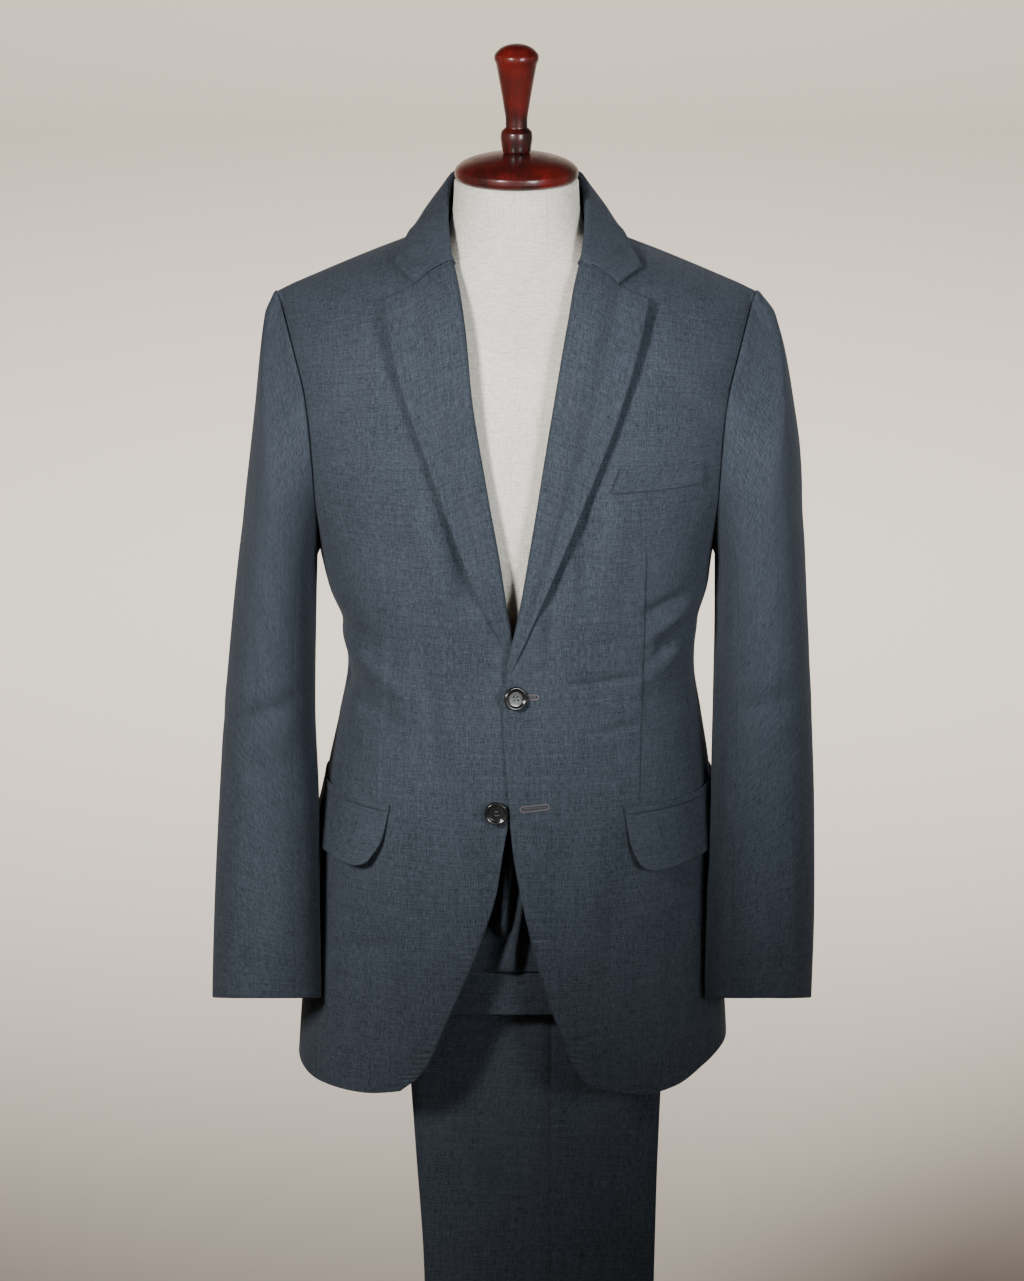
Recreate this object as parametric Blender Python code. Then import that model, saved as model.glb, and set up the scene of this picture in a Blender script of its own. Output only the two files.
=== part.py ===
# Two-piece suit on a limbless dress form: jacket buttoned, trousers hung over a bar below the form.
# X runs to the right as seen from the front (the wearer's left), Y to the back, Z up, metres.
# Surfaces are the outside of the cloth; walls are built inwards from them.
import bpy
import bmesh
import math
import numpy as np

for old in list(bpy.data.objects):
    bpy.data.objects.remove(old, do_unlink=True)

# Cloth
CLOTH = 0.0020            # wall of the jacket cloth
GAP = 0.0004              # space left at a seam
LIFT = 0.0007             # space under a piece that lies on a panel
TRIM = 0.0014             # wall of flaps, jetting and welt
SECTION_POWER = 2.4       # 2 is an ellipse, more is squarer
MIDDLE_X = 0.0031         # moves everything so that the origin is under the middle of the overall width

# Jacket levels
HEM_Z = 0.740
CHEST_Z = 1.300           # the shoulder surface starts here
UNDERARM_Z = 1.205
SHOULDER_Y = 0.006        # the shoulder seam lies this far behind the form's axis
NECK_X = 0.073            # half width of the neck hole at the shoulder seam
TIP_X = 0.2035            # half width at the shoulder tips
LAPEL_TOP_Z = 1.4618
LAPEL_LOW_LEFT_Z = 1.128  # the wearer's left front lies on top
LAPEL_LOW_RIGHT_Z = 1.150

# Buttons
BUTTON_R = 0.0101
BUTTON_H = 0.0038

# Stand
BASE_R = 0.190
BASE_H = 0.018
POLE_R = 0.0140
BAR_Y = -0.065
BAR_Z = 0.965
TROUSER_X = 0.017         # the folded trousers hang a little to the wearer's left
LEG_WALL = 0.0046         # front and back of one leg, pressed together
TROUSER_HEM_Z = 0.092
WAISTBAND_H = 0.038


def smooth(table, at, column=1):
    """Read a table whose first column rises, with a curve that keeps its slopes even."""
    rows = np.asarray(table, float)
    x, y = rows[:, 0], rows[:, column]
    step = np.diff(x)
    slope = np.diff(y) / step
    tangent = np.empty_like(y)
    tangent[1:-1] = np.where(slope[:-1] * slope[1:] > 0,
                             2 * slope[:-1] * slope[1:] / (slope[:-1] + slope[1:] + 1e-12), 0.0)
    tangent[0], tangent[-1] = slope[0], slope[-1]
    at = np.clip(np.asarray(at, float), x[0], x[-1])
    i = np.clip(np.searchsorted(x, at, side="right") - 1, 0, len(x) - 2)
    t = (at - x[i]) / step[i]
    return ((1 + 2 * t) * (1 - t) ** 2 * y[i] + t * (1 - t) ** 2 * step[i] * tangent[i]
            + t * t * (3 - 2 * t) * y[i + 1] + t * t * (t - 1) * step[i] * tangent[i + 1])


def ease(value, low, high):
    """0 below low, 1 above high, smooth between."""
    t = np.clip((np.asarray(value, float) - low) / (high - low), 0, 1)
    return t * t * (3 - 2 * t)


def mix(a, b, t):
    return a + (b - a) * t


# Jacket body sections: height, middle, half width, front, back
BODY = [
    (0.730, -0.0030, 0.1895, 0.1290, 0.1200),
    (0.800, -0.0025, 0.1850, 0.1295, 0.1210),
    (0.880, -0.0010, 0.1765, 0.1300, 0.1190),
    (0.950, 0.0000, 0.1710, 0.1300, 0.1140),
    (1.000, 0.0020, 0.1660, 0.1300, 0.1060),
    (1.050, 0.0035, 0.1570, 0.1290, 0.0980),
    (1.100, 0.0040, 0.1495, 0.1290, 0.0960),
    (1.135, 0.0035, 0.1515, 0.1310, 0.0990),
    (1.170, 0.0015, 0.1630, 0.1335, 0.1060),
    (1.205, 0.0000, 0.1695, 0.1345, 0.1130),
    (1.230, 0.0000, 0.1760, 0.1345, 0.1170),
    (1.260, 0.0000, 0.1870, 0.1335, 0.1200),
    (1.300, 0.0000, 0.2000, 0.1310, 0.1220),
]
# Hem height by angle round the body: it rises on the wearer's left side
HEM = [(-180, 0.742), (-90, 0.742), (-60, 0.737), (0, 0.7365), (32, 0.7370), (45, 0.7415), (60, 0.7530),
       (75, 0.7590),
       (90, 0.7600), (125, 0.7520), (180, 0.742)]
# Shoulder line: half width, height
SHOULDER = [(0.000, 1.5100), (0.055, 1.4850), (0.073, 1.4765), (0.086, 1.4705),
            (0.122, 1.4565), (0.165, 1.4390), (0.2035, 1.4225), (0.215, 1.4150)]
# Armhole seam: height, half width at the front, half width at the back
ARMHOLE = [(1.205, 0.1683, 0.1683), (1.230, 0.1697, 0.1710), (1.253, 0.1712, 0.1735), (1.300, 0.1730, 0.1765),
           (1.345, 0.1780, 0.1815), (1.381, 0.1880, 0.1900), (1.406, 0.1965, 0.1975), (1.4232, 0.2035, 0.2035)]
# Side panel seams: height, front angle, back angle (0 is the middle of the front, 180 of the back)
SIDE_SEAMS = [(0.730, 63, 116), (0.900, 63, 116), (1.080, 67, 113), (1.205, 80, 100)]
# Wearer's left front, its free edge: height, position
EDGE_LEFT = [(0.745, 0.0650), (0.755, 0.0581), (0.7720, 0.0470), (0.7955, 0.0391), (0.8164, 0.0313),
             (0.8553, 0.0193), (0.9093, 0.0064), (0.9665, -0.0038), (1.0170, -0.0080), (1.0640, -0.0114),
             (1.0923, -0.0122), (1.1169, -0.0089), (1.1280, -0.0070)]
EDGE_RIGHT = [(0.7400, -0.1040), (0.7476, -0.0958), (0.7575, -0.0846), (0.7730, -0.0742), (0.7940, -0.0656),
              (0.8219, -0.0543), (0.8769, -0.0320), (0.9254, -0.0166), (0.9532, -0.0123), (0.9835, -0.0072),
              (1.0200, 0.0020), (1.0600, 0.0090), (1.1000, 0.0110), (1.1280, 0.0030)]
# Roll lines of the lapels, height, distance out from the middle
ROLL_LEFT = [(1.1280, -0.0070), (1.1430, -0.0030), (1.1690, 0.0029), (1.2535, 0.0172), (1.3372, 0.0305),
             (1.4171, 0.0447), (1.4630, 0.0560), (1.4800, 0.0730)]
ROLL_RIGHT = [(1.1280, -0.0030), (1.1519, 0.0055), (1.2215, 0.0164), (1.2880, 0.0281), (1.3544, 0.0389),
              (1.4171, 0.0456), (1.4630, 0.0558), (1.4800, 0.0730)]
# Lapel edges, height, distance out from the middle
LAPEL_LEFT = [(1.1240, -0.0038), (1.1606, 0.0113), (1.2201, 0.0365), (1.2789, 0.0615), (1.3446, 0.0907),
              (1.3926, 0.1075), (1.4290, 0.1155)]
LAPEL_RIGHT = [(1.1388, 0.0072), (1.1650, 0.0223), (1.2332, 0.0516), (1.2962, 0.0766), (1.3532, 0.0974),
               (1.3926, 0.1075), (1.4300, 0.1120)]
# Large folds of the body: position, height, direction in degrees, half length, half width, height of the ridge
FOLDS = [
    (-0.130, 1.372, 25, 0.040, 0.010, 0.0022),
    (-0.150, 1.350, 30, 0.030, 0.009, -0.0020),
    (0.140, 1.372, -28, 0.040, 0.010, 0.0024),
    (0.150, 1.350, -32, 0.036, 0.010, -0.0020),
    (0.120, 1.125, 32, 0.060, 0.010, 0.0030),
    (0.105, 1.095, 26, 0.055, 0.010, -0.0024),
    (0.142, 1.170, 48, 0.040, 0.009, 0.0024),
    (-0.125, 1.115, -30, 0.045, 0.010, 0.0024),
    (-0.135, 1.085, -24, 0.045, 0.010, -0.0020),
    (-0.060, 1.060, -70, 0.090, 0.016, 0.0014),
    (0.060, 0.900, 84, 0.110, 0.020, 0.0016),
    (-0.090, 0.860, 96, 0.100, 0.020, 0.0016),
]


def foldShape(x, z, front):
    """Distance the cloth stands out of the plain section at a place on the front."""
    out = np.zeros(np.broadcast(x, z).shape)
    for fx, fz, turn, length, width, height in FOLDS:
        c, s = math.cos(math.radians(turn)), math.sin(math.radians(turn))
        along, across = (x - fx) * c + (z - fz) * s, (z - fz) * c - (x - fx) * s
        out = out + height * np.exp(-(along / length) ** 2 - (across / width) ** 2)
    return np.where(front, out, 0.0)


def lowerBody(angle, z):
    """Point on the body below the chest level; the angle is signed, 0 at the middle of the front."""
    turn = np.radians(angle)
    s, c = np.sin(turn), np.cos(turn)
    power = 2 / SECTION_POWER
    depth = np.where(c > 0, -smooth(BODY, z, 3), smooth(BODY, z, 4))
    x = smooth(BODY, z, 1) + smooth(BODY, z, 2) * np.sign(s) * np.abs(s) ** power
    y = depth * np.abs(c) ** power
    fold = foldShape(x, z, c > 0.05)
    return np.stack([x + fold * s, y - fold * c, z + 0 * x], -1)


def angleAt(x, z):
    """Angle of the section at a given position across the front."""
    part = np.clip((x - smooth(BODY, z, 1)) / smooth(BODY, z, 2), -0.9995, 0.9995)
    return np.degrees(np.arcsin(np.sign(part) * np.abs(part) ** (SECTION_POWER / 2)))


def hemLift(angle, z):
    """How far a place near the hem is moved up with the hem."""
    return (smooth(HEM, angle) - HEM_Z) * (1 - ease(z, HEM_Z, HEM_Z + 0.14))


def shoulderShape(x, back):
    """Height of the shoulder over the chest level, depth there, and the two powers of the arch."""
    height = smooth(SHOULDER, np.abs(x)) - CHEST_Z
    half = smooth(BODY, CHEST_Z, 2)
    side = np.clip(1 - (np.abs(x) / half) ** SECTION_POWER, 0, 1) ** (1 / SECTION_POWER)
    side = np.maximum(side, 0.16)
    depth = np.where(back, smooth(BODY, CHEST_Z, 4) * side - SHOULDER_Y,
                     smooth(BODY, CHEST_Z, 3) * side + SHOULDER_Y)
    return height, depth, np.where(back, 2.7, 2.5), np.where(back, 2.1, 1.75)


def upperBody(x, rise, back):
    """Point over the chest level: rise runs from 0 at the chest level to 1 on the shoulder seam."""
    height, depth, up, level = shoulderShape(x, back)
    turn = rise * math.pi / 2
    z = CHEST_Z + height * np.sin(turn) ** (2 / up)
    away = depth * np.cos(turn) ** (2 / level)
    fold = foldShape(x, z, ~np.asarray(back, bool)) * (1 - ease(rise, 0.5, 0.9))
    y = np.where(back, SHOULDER_Y + away, SHOULDER_Y - away) - fold
    return np.stack([x + 0 * z, y, z], -1)


def riseAt(x, z, back):
    """The rise at a given height."""
    height, depth, up, level = shoulderShape(x, back)
    return np.arcsin(np.clip((z - CHEST_Z) / height, 0, 1) ** (up / 2)) / (math.pi / 2)


def shoulderHeight(x, y):
    """Height of the jacket's surface over a place near the shoulders."""
    back = y > SHOULDER_Y
    height, depth, up, level = shoulderShape(x, back)
    away = np.clip(np.abs(y - SHOULDER_Y) / depth, 0, 1)
    return CHEST_Z + height * np.clip(1 - away ** level, 0, 1) ** (1 / up)


def frontPoint(x, z):
    """Point of the front at a position and height."""
    x, z = np.broadcast_arrays(np.asarray(x, float), np.asarray(z, float))
    low = lowerBody(angleAt(x, np.minimum(z, CHEST_Z)), np.minimum(z, CHEST_Z))
    high = upperBody(x, riseAt(x, np.maximum(z, CHEST_Z), False), np.zeros(x.shape, bool))
    return np.where((z <= CHEST_Z)[..., None], low, high)


def bodyField(p):
    """1 on the plain surface of the jacket's body, more outside it."""
    x, y, z = p[..., 0], p[..., 1], p[..., 2]
    low = np.minimum(z, CHEST_Z)
    depth = np.where(y < 0, smooth(BODY, low, 3), smooth(BODY, low, 4))
    section = ((np.abs(x - smooth(BODY, low, 1)) / smooth(BODY, low, 2)) ** SECTION_POWER
               + (np.abs(y) / depth) ** SECTION_POWER)
    height, reach, up, level = shoulderShape(x, y > SHOULDER_Y)
    arch = (np.maximum(z - CHEST_Z, 0) / height) ** up + (np.abs(y - SHOULDER_Y) / reach) ** level
    return np.where(z <= CHEST_Z, section, arch)


def bodyNormals(p):
    """Outward normals of the plain surface, the same for every panel that meets there."""
    step = 0.0004
    parts = []
    for axis in range(3):
        move = np.zeros(3)
        move[axis] = step
        parts.append(bodyField(p + move) - bodyField(p - move))
    n = np.stack(parts, -1)
    return n / np.maximum(np.linalg.norm(n, axis=-1, keepdims=True), 1e-12)


def normals(grid, wrap=False):
    """Normals of a grid, to the left of its rows and columns."""
    if wrap:
        across = np.roll(grid, -1, 1) - np.roll(grid, 1, 1)
    else:
        across = np.gradient(grid, axis=1)
    along = np.gradient(grid, axis=0)
    n = np.cross(across, along)
    return n / np.maximum(np.linalg.norm(n, axis=-1, keepdims=True), 1e-12)


def material(name, colour, rough):
    m = bpy.data.materials.new(name)
    m.use_nodes = True
    bsdf = m.node_tree.nodes["Principled BSDF"]
    bsdf.inputs["Base Color"].default_value = (*colour, 1)
    bsdf.inputs["Roughness"].default_value = rough
    m.diffuse_color = (*colour, 1)
    return m


LOOKS = {
    "cloth": ((0.060, 0.066, 0.076), 0.85),
    "button": ((0.010, 0.010, 0.012), 0.25),
    "linen": ((0.520, 0.490, 0.430), 0.90),
    "mahogany": ((0.110, 0.012, 0.010), 0.25),
    "steel": ((0.300, 0.300, 0.310), 0.40),
}


def solid(name, points, faces, look):
    mesh = bpy.data.meshes.new(name)
    bm = bmesh.new()
    verts = [bm.verts.new((p[0] + MIDDLE_X, p[1], p[2])) for p in points]
    for face in faces:
        bm.faces.new([verts[i] for i in face])
    bmesh.ops.triangulate(bm, faces=bm.faces[:])
    bmesh.ops.recalc_face_normals(bm, faces=bm.faces[:])
    if bm.calc_volume(signed=True) < 0:
        bmesh.ops.reverse_faces(bm, faces=bm.faces[:])
    bm.to_mesh(mesh)
    bm.free()
    thing = bpy.data.objects.new(name, mesh)
    bpy.context.scene.collection.objects.link(thing)
    thing.data.materials.append(material(name + "_" + look, *LOOKS[look]))
    return thing


def shell(name, outer, inner, look="cloth", wrap=False):
    """Closed wall between two grids; the columns close on themselves when wrapped."""
    rows, columns = outer.shape[:2]
    points = np.concatenate([outer.reshape(-1, 3), inner.reshape(-1, 3)])
    n = rows * columns
    faces = []
    last = columns if wrap else columns - 1
    for i in range(rows - 1):
        for j in range(last):
            a, b = i * columns + j, i * columns + (j + 1) % columns
            c, d = b + columns, a + columns
            faces += [(a, b, c, d), (n + d, n + c, n + b, n + a)]
    for j in range(last):
        a, b = j, (j + 1) % columns
        faces.append((b, a, n + a, n + b))
        a, b = a + (rows - 1) * columns, b + (rows - 1) * columns
        faces.append((a, b, n + b, n + a))
    if not wrap:
        for i in range(rows - 1):
            a, d = i * columns, (i + 1) * columns
            faces.append((a, d, n + d, n + a))
            a, d = a + columns - 1, d + columns - 1
            faces.append((d, a, n + a, n + d))
    return solid(name, points, faces, look)


def bodyWall(name, outer):
    """Wall inwards from a panel of the jacket's body."""
    return shell(name, outer, outer - CLOTH * bodyNormals(outer))


def raised(name, surface, thickness, lift, look="cloth"):
    """Wall that lies on a panel: its underside is lift out from the panel's points."""
    n = bodyNormals(surface)
    lift = np.asarray(lift, float)[..., None] if np.ndim(lift) else lift
    return shell(name, surface + (lift + thickness) * n, surface + lift * n, look)


def lathe(name, profile, centre, look, sides=32):
    """Turned piece about an upright axis, closed at both ends: profile of radius and height."""
    turn = np.arange(sides) * 2 * math.pi / sides
    points, faces = [], []
    for r, z in profile:
        points += [(centre[0] + r * math.cos(t), centre[1] + r * math.sin(t), z) for t in turn]
    for i in range(len(profile) - 1):
        for j in range(sides):
            a, b = i * sides + j, i * sides + (j + 1) % sides
            faces.append((a, b, b + sides, a + sides))
    faces.append(tuple(reversed(range(sides))))
    faces.append(tuple(range((len(profile) - 1) * sides, len(profile) * sides)))
    return solid(name, points, faces, look)


# Fronts
PANEL_ROWS = np.concatenate([np.linspace(0, 0.75, 17), 0.75 + 0.25 * np.linspace(0, 1, 9)[1:]])


def frontGrid(side, columns=11):
    """Outside of one front; side is 1 for the wearer's left."""
    edge, roll = (EDGE_LEFT, ROLL_LEFT) if side > 0 else (EDGE_RIGHT, ROLL_RIGHT)
    u = np.linspace(0, 1, columns)
    grid = np.zeros((len(PANEL_ROWS), columns, 3))
    corner = 0.7545 if side > 0 else 0.7475
    for i, v in enumerate(PANEL_ROWS):
        if v <= 0.75:
            level = mix(HEM_Z, CHEST_Z, v / 0.75)
            z = np.full(columns, level)
            for _ in range(3):
                lift = (corner - HEM_Z) * (1 - u) ** 5 * (1 - ease(level, HEM_Z, HEM_Z + 0.07))
                fold = smooth(edge, z)
                rolled = side * smooth(roll, z)
                inner = np.where(z < 1.128, fold, rolled) + side * GAP
                seam = side * (smooth(SIDE_SEAMS, z, 1) - 0.12)
                z = level + lift + hemLift(mix(angleAt(inner, z), seam, u), level)
            low = angleAt(inner, z)
            arm = angleAt(side * (smooth(ARMHOLE, z, 1) - GAP / 2), z)
            high = np.where(z <= UNDERARM_Z + 1e-6, seam, arm)
            grid[i] = lowerBody(mix(low, high, u), z)
        else:
            rise = (v - 0.75) / 0.25 * 0.986
            inner, outer = np.full(1, side * 0.05), np.full(1, side * 0.19)
            for _ in range(12):
                zIn = upperBody(inner, rise, np.zeros(1, bool))[..., 2]
                zOut = upperBody(outer, rise, np.zeros(1, bool))[..., 2]
                inner = side * (smooth(roll, zIn) + GAP + 0.0050 * ease(zIn, 1.4500, 1.4600))
                outer = side * (smooth(ARMHOLE, zOut, 1) - GAP / 2)
            grid[i] = upperBody(mix(inner, outer, u), rise, np.zeros(columns, bool))
    if side < 0:
        x, z = grid[..., 0], grid[..., 2]
        under = ease(x, -0.055, -0.022) * (1 - ease(z, 1.150, 1.190))
        grid[..., 1] += 0.0034 * under
    return grid


fronts = {}
for side, label in ((1, "left"), (-1, "right")):
    fronts[label] = frontGrid(side)
    bodyWall("jacket_front_" + label, fronts[label])

# Side panels under the arms
for side, label in ((1, "left"), (-1, "right")):
    levels = mix(HEM_Z, CHEST_Z, PANEL_ROWS[PANEL_ROWS <= 0.75] / 0.75)
    zRows = np.append(levels[levels < UNDERARM_Z - 0.01], UNDERARM_Z - 0.0016)
    v = np.linspace(0, 1, 6)
    grid = []
    for z in zRows:
        angle = side * mix(smooth(SIDE_SEAMS, z, 1) + 0.12, smooth(SIDE_SEAMS, z, 2) - 0.12, v)
        grid.append(lowerBody(angle, z + hemLift(angle, z)))
    grid = np.array(grid)
    bodyWall("jacket_side_" + label, grid)


# Backs
def backGrid(side, columns=9):
    rows = []
    u = np.linspace(0, 1, columns)
    for z in mix(HEM_Z, CHEST_Z, PANEL_ROWS[PANEL_ROWS <= 0.75] / 0.75):
        seam = smooth(SIDE_SEAMS, z, 2) + 0.12
        arm = 180 - np.abs(angleAt(side * (smooth(ARMHOLE, z, 2) - GAP / 2), z))
        outer = seam if z <= UNDERARM_Z + 1e-6 else arm
        angle = side * mix(179.86, outer, u)
        rows.append(lowerBody(angle, z + hemLift(angle, z)))
    for v in np.linspace(0, 1, 8)[1:]:
        rise = v * 0.986
        outer = np.full(1, side * 0.19)
        for _ in range(12):
            zOut = upperBody(outer, rise, np.ones(1, bool))[..., 2]
            outer = side * (smooth(ARMHOLE, zOut, 2) - GAP / 2)
        inner = side * mix(0.0007, NECK_X + 0.001, ease(v, 0.72, 1.0))
        x = mix(inner, outer, u)
        rows.append(upperBody(x, rise * mix(0.80, 1.0, ease(u, 0, 0.5)), np.ones(columns, bool)))
    return np.array(rows)


for side, label in ((1, "left"), (-1, "right")):
    bodyWall("jacket_back_" + label, backGrid(side))


# Sleeves: height, outer side, inner side, front, back
SLEEVE_LEFT = [
    (0.790, 0.2535, 0.1640, -0.1130, -0.0130),
    (0.820, 0.2542, 0.1640, -0.1130, -0.0120),
    (0.895, 0.2558, 0.1660, -0.1110, -0.0020),
    (0.980, 0.2551, 0.1692, -0.1040, 0.0180),
    (1.064, 0.2523, 0.1712, -0.0960, 0.0420),
    (1.151, 0.2481, 0.1725, -0.0910, 0.0620),
    (1.223, 0.2446, 0.1722, -0.0880, 0.0740),
    (1.285, 0.2410, 0.1722, -0.0855, 0.0790),
    (1.328, 0.2350, 0.1740, -0.0790, 0.0740),
    (1.372, 0.2272, 0.1800, -0.0600, 0.0560),
    (1.405, 0.2180, 0.1900, -0.0350, 0.0350),
    (1.425, 0.2110, 0.1990, -0.0120, 0.0180),
]
SLEEVE_RIGHT = [
    (0.790, 0.2625, 0.1700, -0.1130, -0.0130),
    (0.820, 0.2618, 0.1702, -0.1130, -0.0120),
    (0.895, 0.2592, 0.1719, -0.1110, -0.0020),
    (0.980, 0.2549, 0.1723, -0.1040, 0.0180),
    (1.064, 0.2495, 0.1753, -0.0960, 0.0420),
    (1.151, 0.2415, 0.1740, -0.0910, 0.0620),
    (1.223, 0.2335, 0.1722, -0.0880, 0.0740),
    (1.285, 0.2260, 0.1720, -0.0855, 0.0790),
    (1.328, 0.2210, 0.1740, -0.0790, 0.0740),
    (1.372, 0.2165, 0.1800, -0.0600, 0.0560),
    (1.405, 0.2120, 0.1900, -0.0350, 0.0350),
    (1.425, 0.2070, 0.1990, -0.0120, 0.0180),
]
SLEEVE_HEM_Z = 0.808
SLEEVE_HEM_SLOPE = -0.34  # the hem falls towards the back
SLEEVE_HEM_Y = -0.055
BODY_CLEARANCE = 0.0062


def armholePoint(turn):
    """Place on the armhole seam: 0 at the top, 90 at the front, 180 under the arm."""
    low, high = UNDERARM_Z, 1.4232
    z = mix(low, high, 0.5 + 0.5 * np.cos(np.radians(turn)))
    back = np.sin(np.radians(turn)) < 0
    x = np.where(back, smooth(ARMHOLE, z, 2), smooth(ARMHOLE, z, 1))
    lowZ = np.minimum(z, CHEST_Z)
    a = np.abs(angleAt(x, lowZ))
    low = lowerBody(np.where(back, 180 - a, a), lowZ)
    high = upperBody(x, riseAt(x, np.maximum(z, CHEST_Z), back), back)
    point = np.where((z <= CHEST_Z)[..., None], low, high)
    point[..., 0] = x
    point[..., 2] = z
    return point


def sleeveSection(table, z, turn):
    """Level section of a sleeve: 0 is the outer side, 90 the front, 180 the inner side."""
    outer, inner = smooth(table, z, 1), smooth(table, z, 2)
    front, back = smooth(table, z, 3), smooth(table, z, 4)
    t = np.radians(turn)
    power = 2 / 2.15
    c, s = np.cos(t), np.sin(t)
    x = (outer + inner) / 2 + (outer - inner) / 2 * np.sign(c) * np.abs(c) ** power
    y = (front + back) / 2 + (front - back) / 2 * np.sign(s) * np.abs(s) ** power
    return np.stack([x, y, z + 0 * x], -1)


def sideOfBody(y, z):
    """How far out the body reaches at a depth and height."""
    z = np.minimum(z, UNDERARM_Z)
    depth = np.where(y < 0, smooth(BODY, z, 3), smooth(BODY, z, 4))
    across = np.clip(1 - np.clip(np.abs(y) / depth, 0, 1) ** SECTION_POWER, 0, 1) ** (1 / SECTION_POWER)
    return smooth(BODY, z, 2) * across


def sleeveGrid(side, turns, rows=17, clearance=BODY_CLEARANCE):
    """Inside of a stretch of sleeve between two angles, from the armhole down to the hem."""
    table = SLEEVE_LEFT if side > 0 else SLEEVE_RIGHT
    turns = np.asarray(turns, float)
    start = armholePoint(turns)
    middle = np.array([0.0, 0.002, 1.314])
    inward = start - middle
    inward[..., 0] = 0
    inward /= np.linalg.norm(inward, axis=-1, keepdims=True)
    start = start - inward * 0.0004 + 0.0007 * bodyNormals(start)
    under = 0.5 - 0.5 * np.cos(np.radians(turns))
    reach = mix(0.020, 0.070, np.abs(np.sin(np.radians(turns)))) * (1 - 0.5 * ease(under, 0.75, 1))
    grid = np.zeros((rows, len(turns), 3))
    for i, v in enumerate(np.linspace(0, 1, rows) ** 1.25):
        end = sleeveSection(table, SLEEVE_HEM_Z, turns)
        hem = SLEEVE_HEM_Z + SLEEVE_HEM_SLOPE * (end[..., 1] - SLEEVE_HEM_Y)
        z = mix(start[..., 2], hem, v)
        level = sleeveSection(table, z, turns)
        blend = ease((start[..., 2] - z) / reach, 0, 1) if i else np.zeros(len(turns))
        blend = np.sqrt(blend)
        point = np.stack([mix(start[..., 0], level[..., 0], blend), mix(start[..., 1], level[..., 1], blend), z], -1)
        if i:
            middleX = smooth(BODY, np.minimum(z, UNDERARM_Z), 1) * side
            free = sideOfBody(point[..., 1], z) + middleX + clearance
            held = (under > 0.5) & (z < UNDERARM_Z + 0.01)
            point[..., 0] = np.where(held, np.maximum(point[..., 0], mix(start[..., 0], free, ease(v, 0, 0.06))),
                                     point[..., 0])
        grid[i] = point
    grid[..., 0] *= side
    inward[..., 0] *= side
    return grid, -inward


def sleeveWall(name, side, turns):
    """Wall outwards from the inside of the sleeve; at the armhole it turns in, to meet the panel."""
    inner, towardsMiddle = sleeveGrid(side, turns)
    outer = inner + CLOTH * side * normals(inner)
    outer[0] = inner[0]
    inner[0] += CLOTH * towardsMiddle
    shell(name, outer, inner)


SEAM_FRONT, SEAM_BACK = 122, 236
for side, label in ((1, "left"), (-1, "right")):
    sleeveWall("jacket_top_sleeve_" + label, side, np.linspace(SEAM_BACK - 360 + 0.45, SEAM_FRONT - 0.45, 15))
    sleeveWall("jacket_under_sleeve_" + label, side, np.linspace(SEAM_FRONT + 0.45, SEAM_BACK - 0.45, 8))


# Lapels lie on the fronts; the cloth rolls over the front edge in a soft bulge
ROLL_BULGE = 0.0055
LAPEL_CORNER_Z = 1.4283
for side, label, roll, edge, lowest in ((1, "left", ROLL_LEFT, LAPEL_LEFT, LAPEL_LOW_LEFT_Z),
                                        (-1, "right", ROLL_RIGHT, LAPEL_RIGHT, LAPEL_LOW_RIGHT_Z)):
    u = np.linspace(0, 1, 7)
    grid, lift = [], []
    for v in np.linspace(0, 1, 17):
        z = mix(lowest, mix(LAPEL_TOP_Z - 0.001, LAPEL_CORNER_Z, u), v)
        x = mix(smooth(roll, z), smooth(edge, z), u)
        grid.append(frontPoint(side * x, z))
        lift.append(LIFT + ROLL_BULGE * np.sin(np.pi * np.clip(u / 0.55, 0, 1)) ** 1.5 * ease(v, 0, 0.2)
                    + 0.0010 * ease(u, 0.4, 0.7) * ease(v, 0.6, 0.9))
    raised("jacket_lapel_" + label, np.array(grid), CLOTH, np.array(lift))

# Collar stations from the middle of the back to the gorge: roll, then leaf edge, then foot of the stand
COLLAR = [
    (0.000, 0.0000, 0.0720, 1.5170, 0.0000, 0.1130, 1.4620, 0.0000, 0.0745, 1.4800),
    (0.200, 0.0350, 0.0630, 1.5170, 0.0420, 0.1030, 1.4630, 0.0380, 0.0650, 1.4805),
    (0.380, 0.0520, 0.0420, 1.5170, 0.0690, 0.0730, 1.4680, 0.0570, 0.0430, 1.4810),
    (0.520, 0.0590, 0.0150, 1.5080, 0.0825, 0.0320, 1.4750, 0.0630, 0.0140, 1.4810),
    (0.660, 0.0600, -0.0160, 1.4940, 0.0890, 0.0020, 1.4760, 0.0635, -0.0150, 1.4760),
    (0.800, 0.0590, -0.0400, 1.4800, 0.0955, -0.0180, 1.4680, 0.0592, -0.0395, 1.4680),
    (0.920, 0.0572, -0.0550, 1.4700, 0.1008, -0.0405, 1.4530, 0.0570, -0.0540, 1.4632),
    (1.000, 0.0562, -0.0606, 1.4655, 0.0862, -0.0655, 1.4485, 0.0562, -0.0596, 1.4620),
]
COLLAR_LIFT = 0.0037


def overShoulder(points, lift):
    """Move points out so that they clear the jacket's shoulders by the lift."""
    out = points.copy()
    for _ in range(3):
        floor = shoulderHeight(out[..., 0], out[..., 1])
        n = bodyNormals(np.stack([out[..., 0], out[..., 1], floor], -1))
        above = (out[..., 2] - floor) * np.maximum(n[..., 2], 0.15)
        out = out + n * np.maximum(lift - above, 0)[..., None]
    return out


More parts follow.
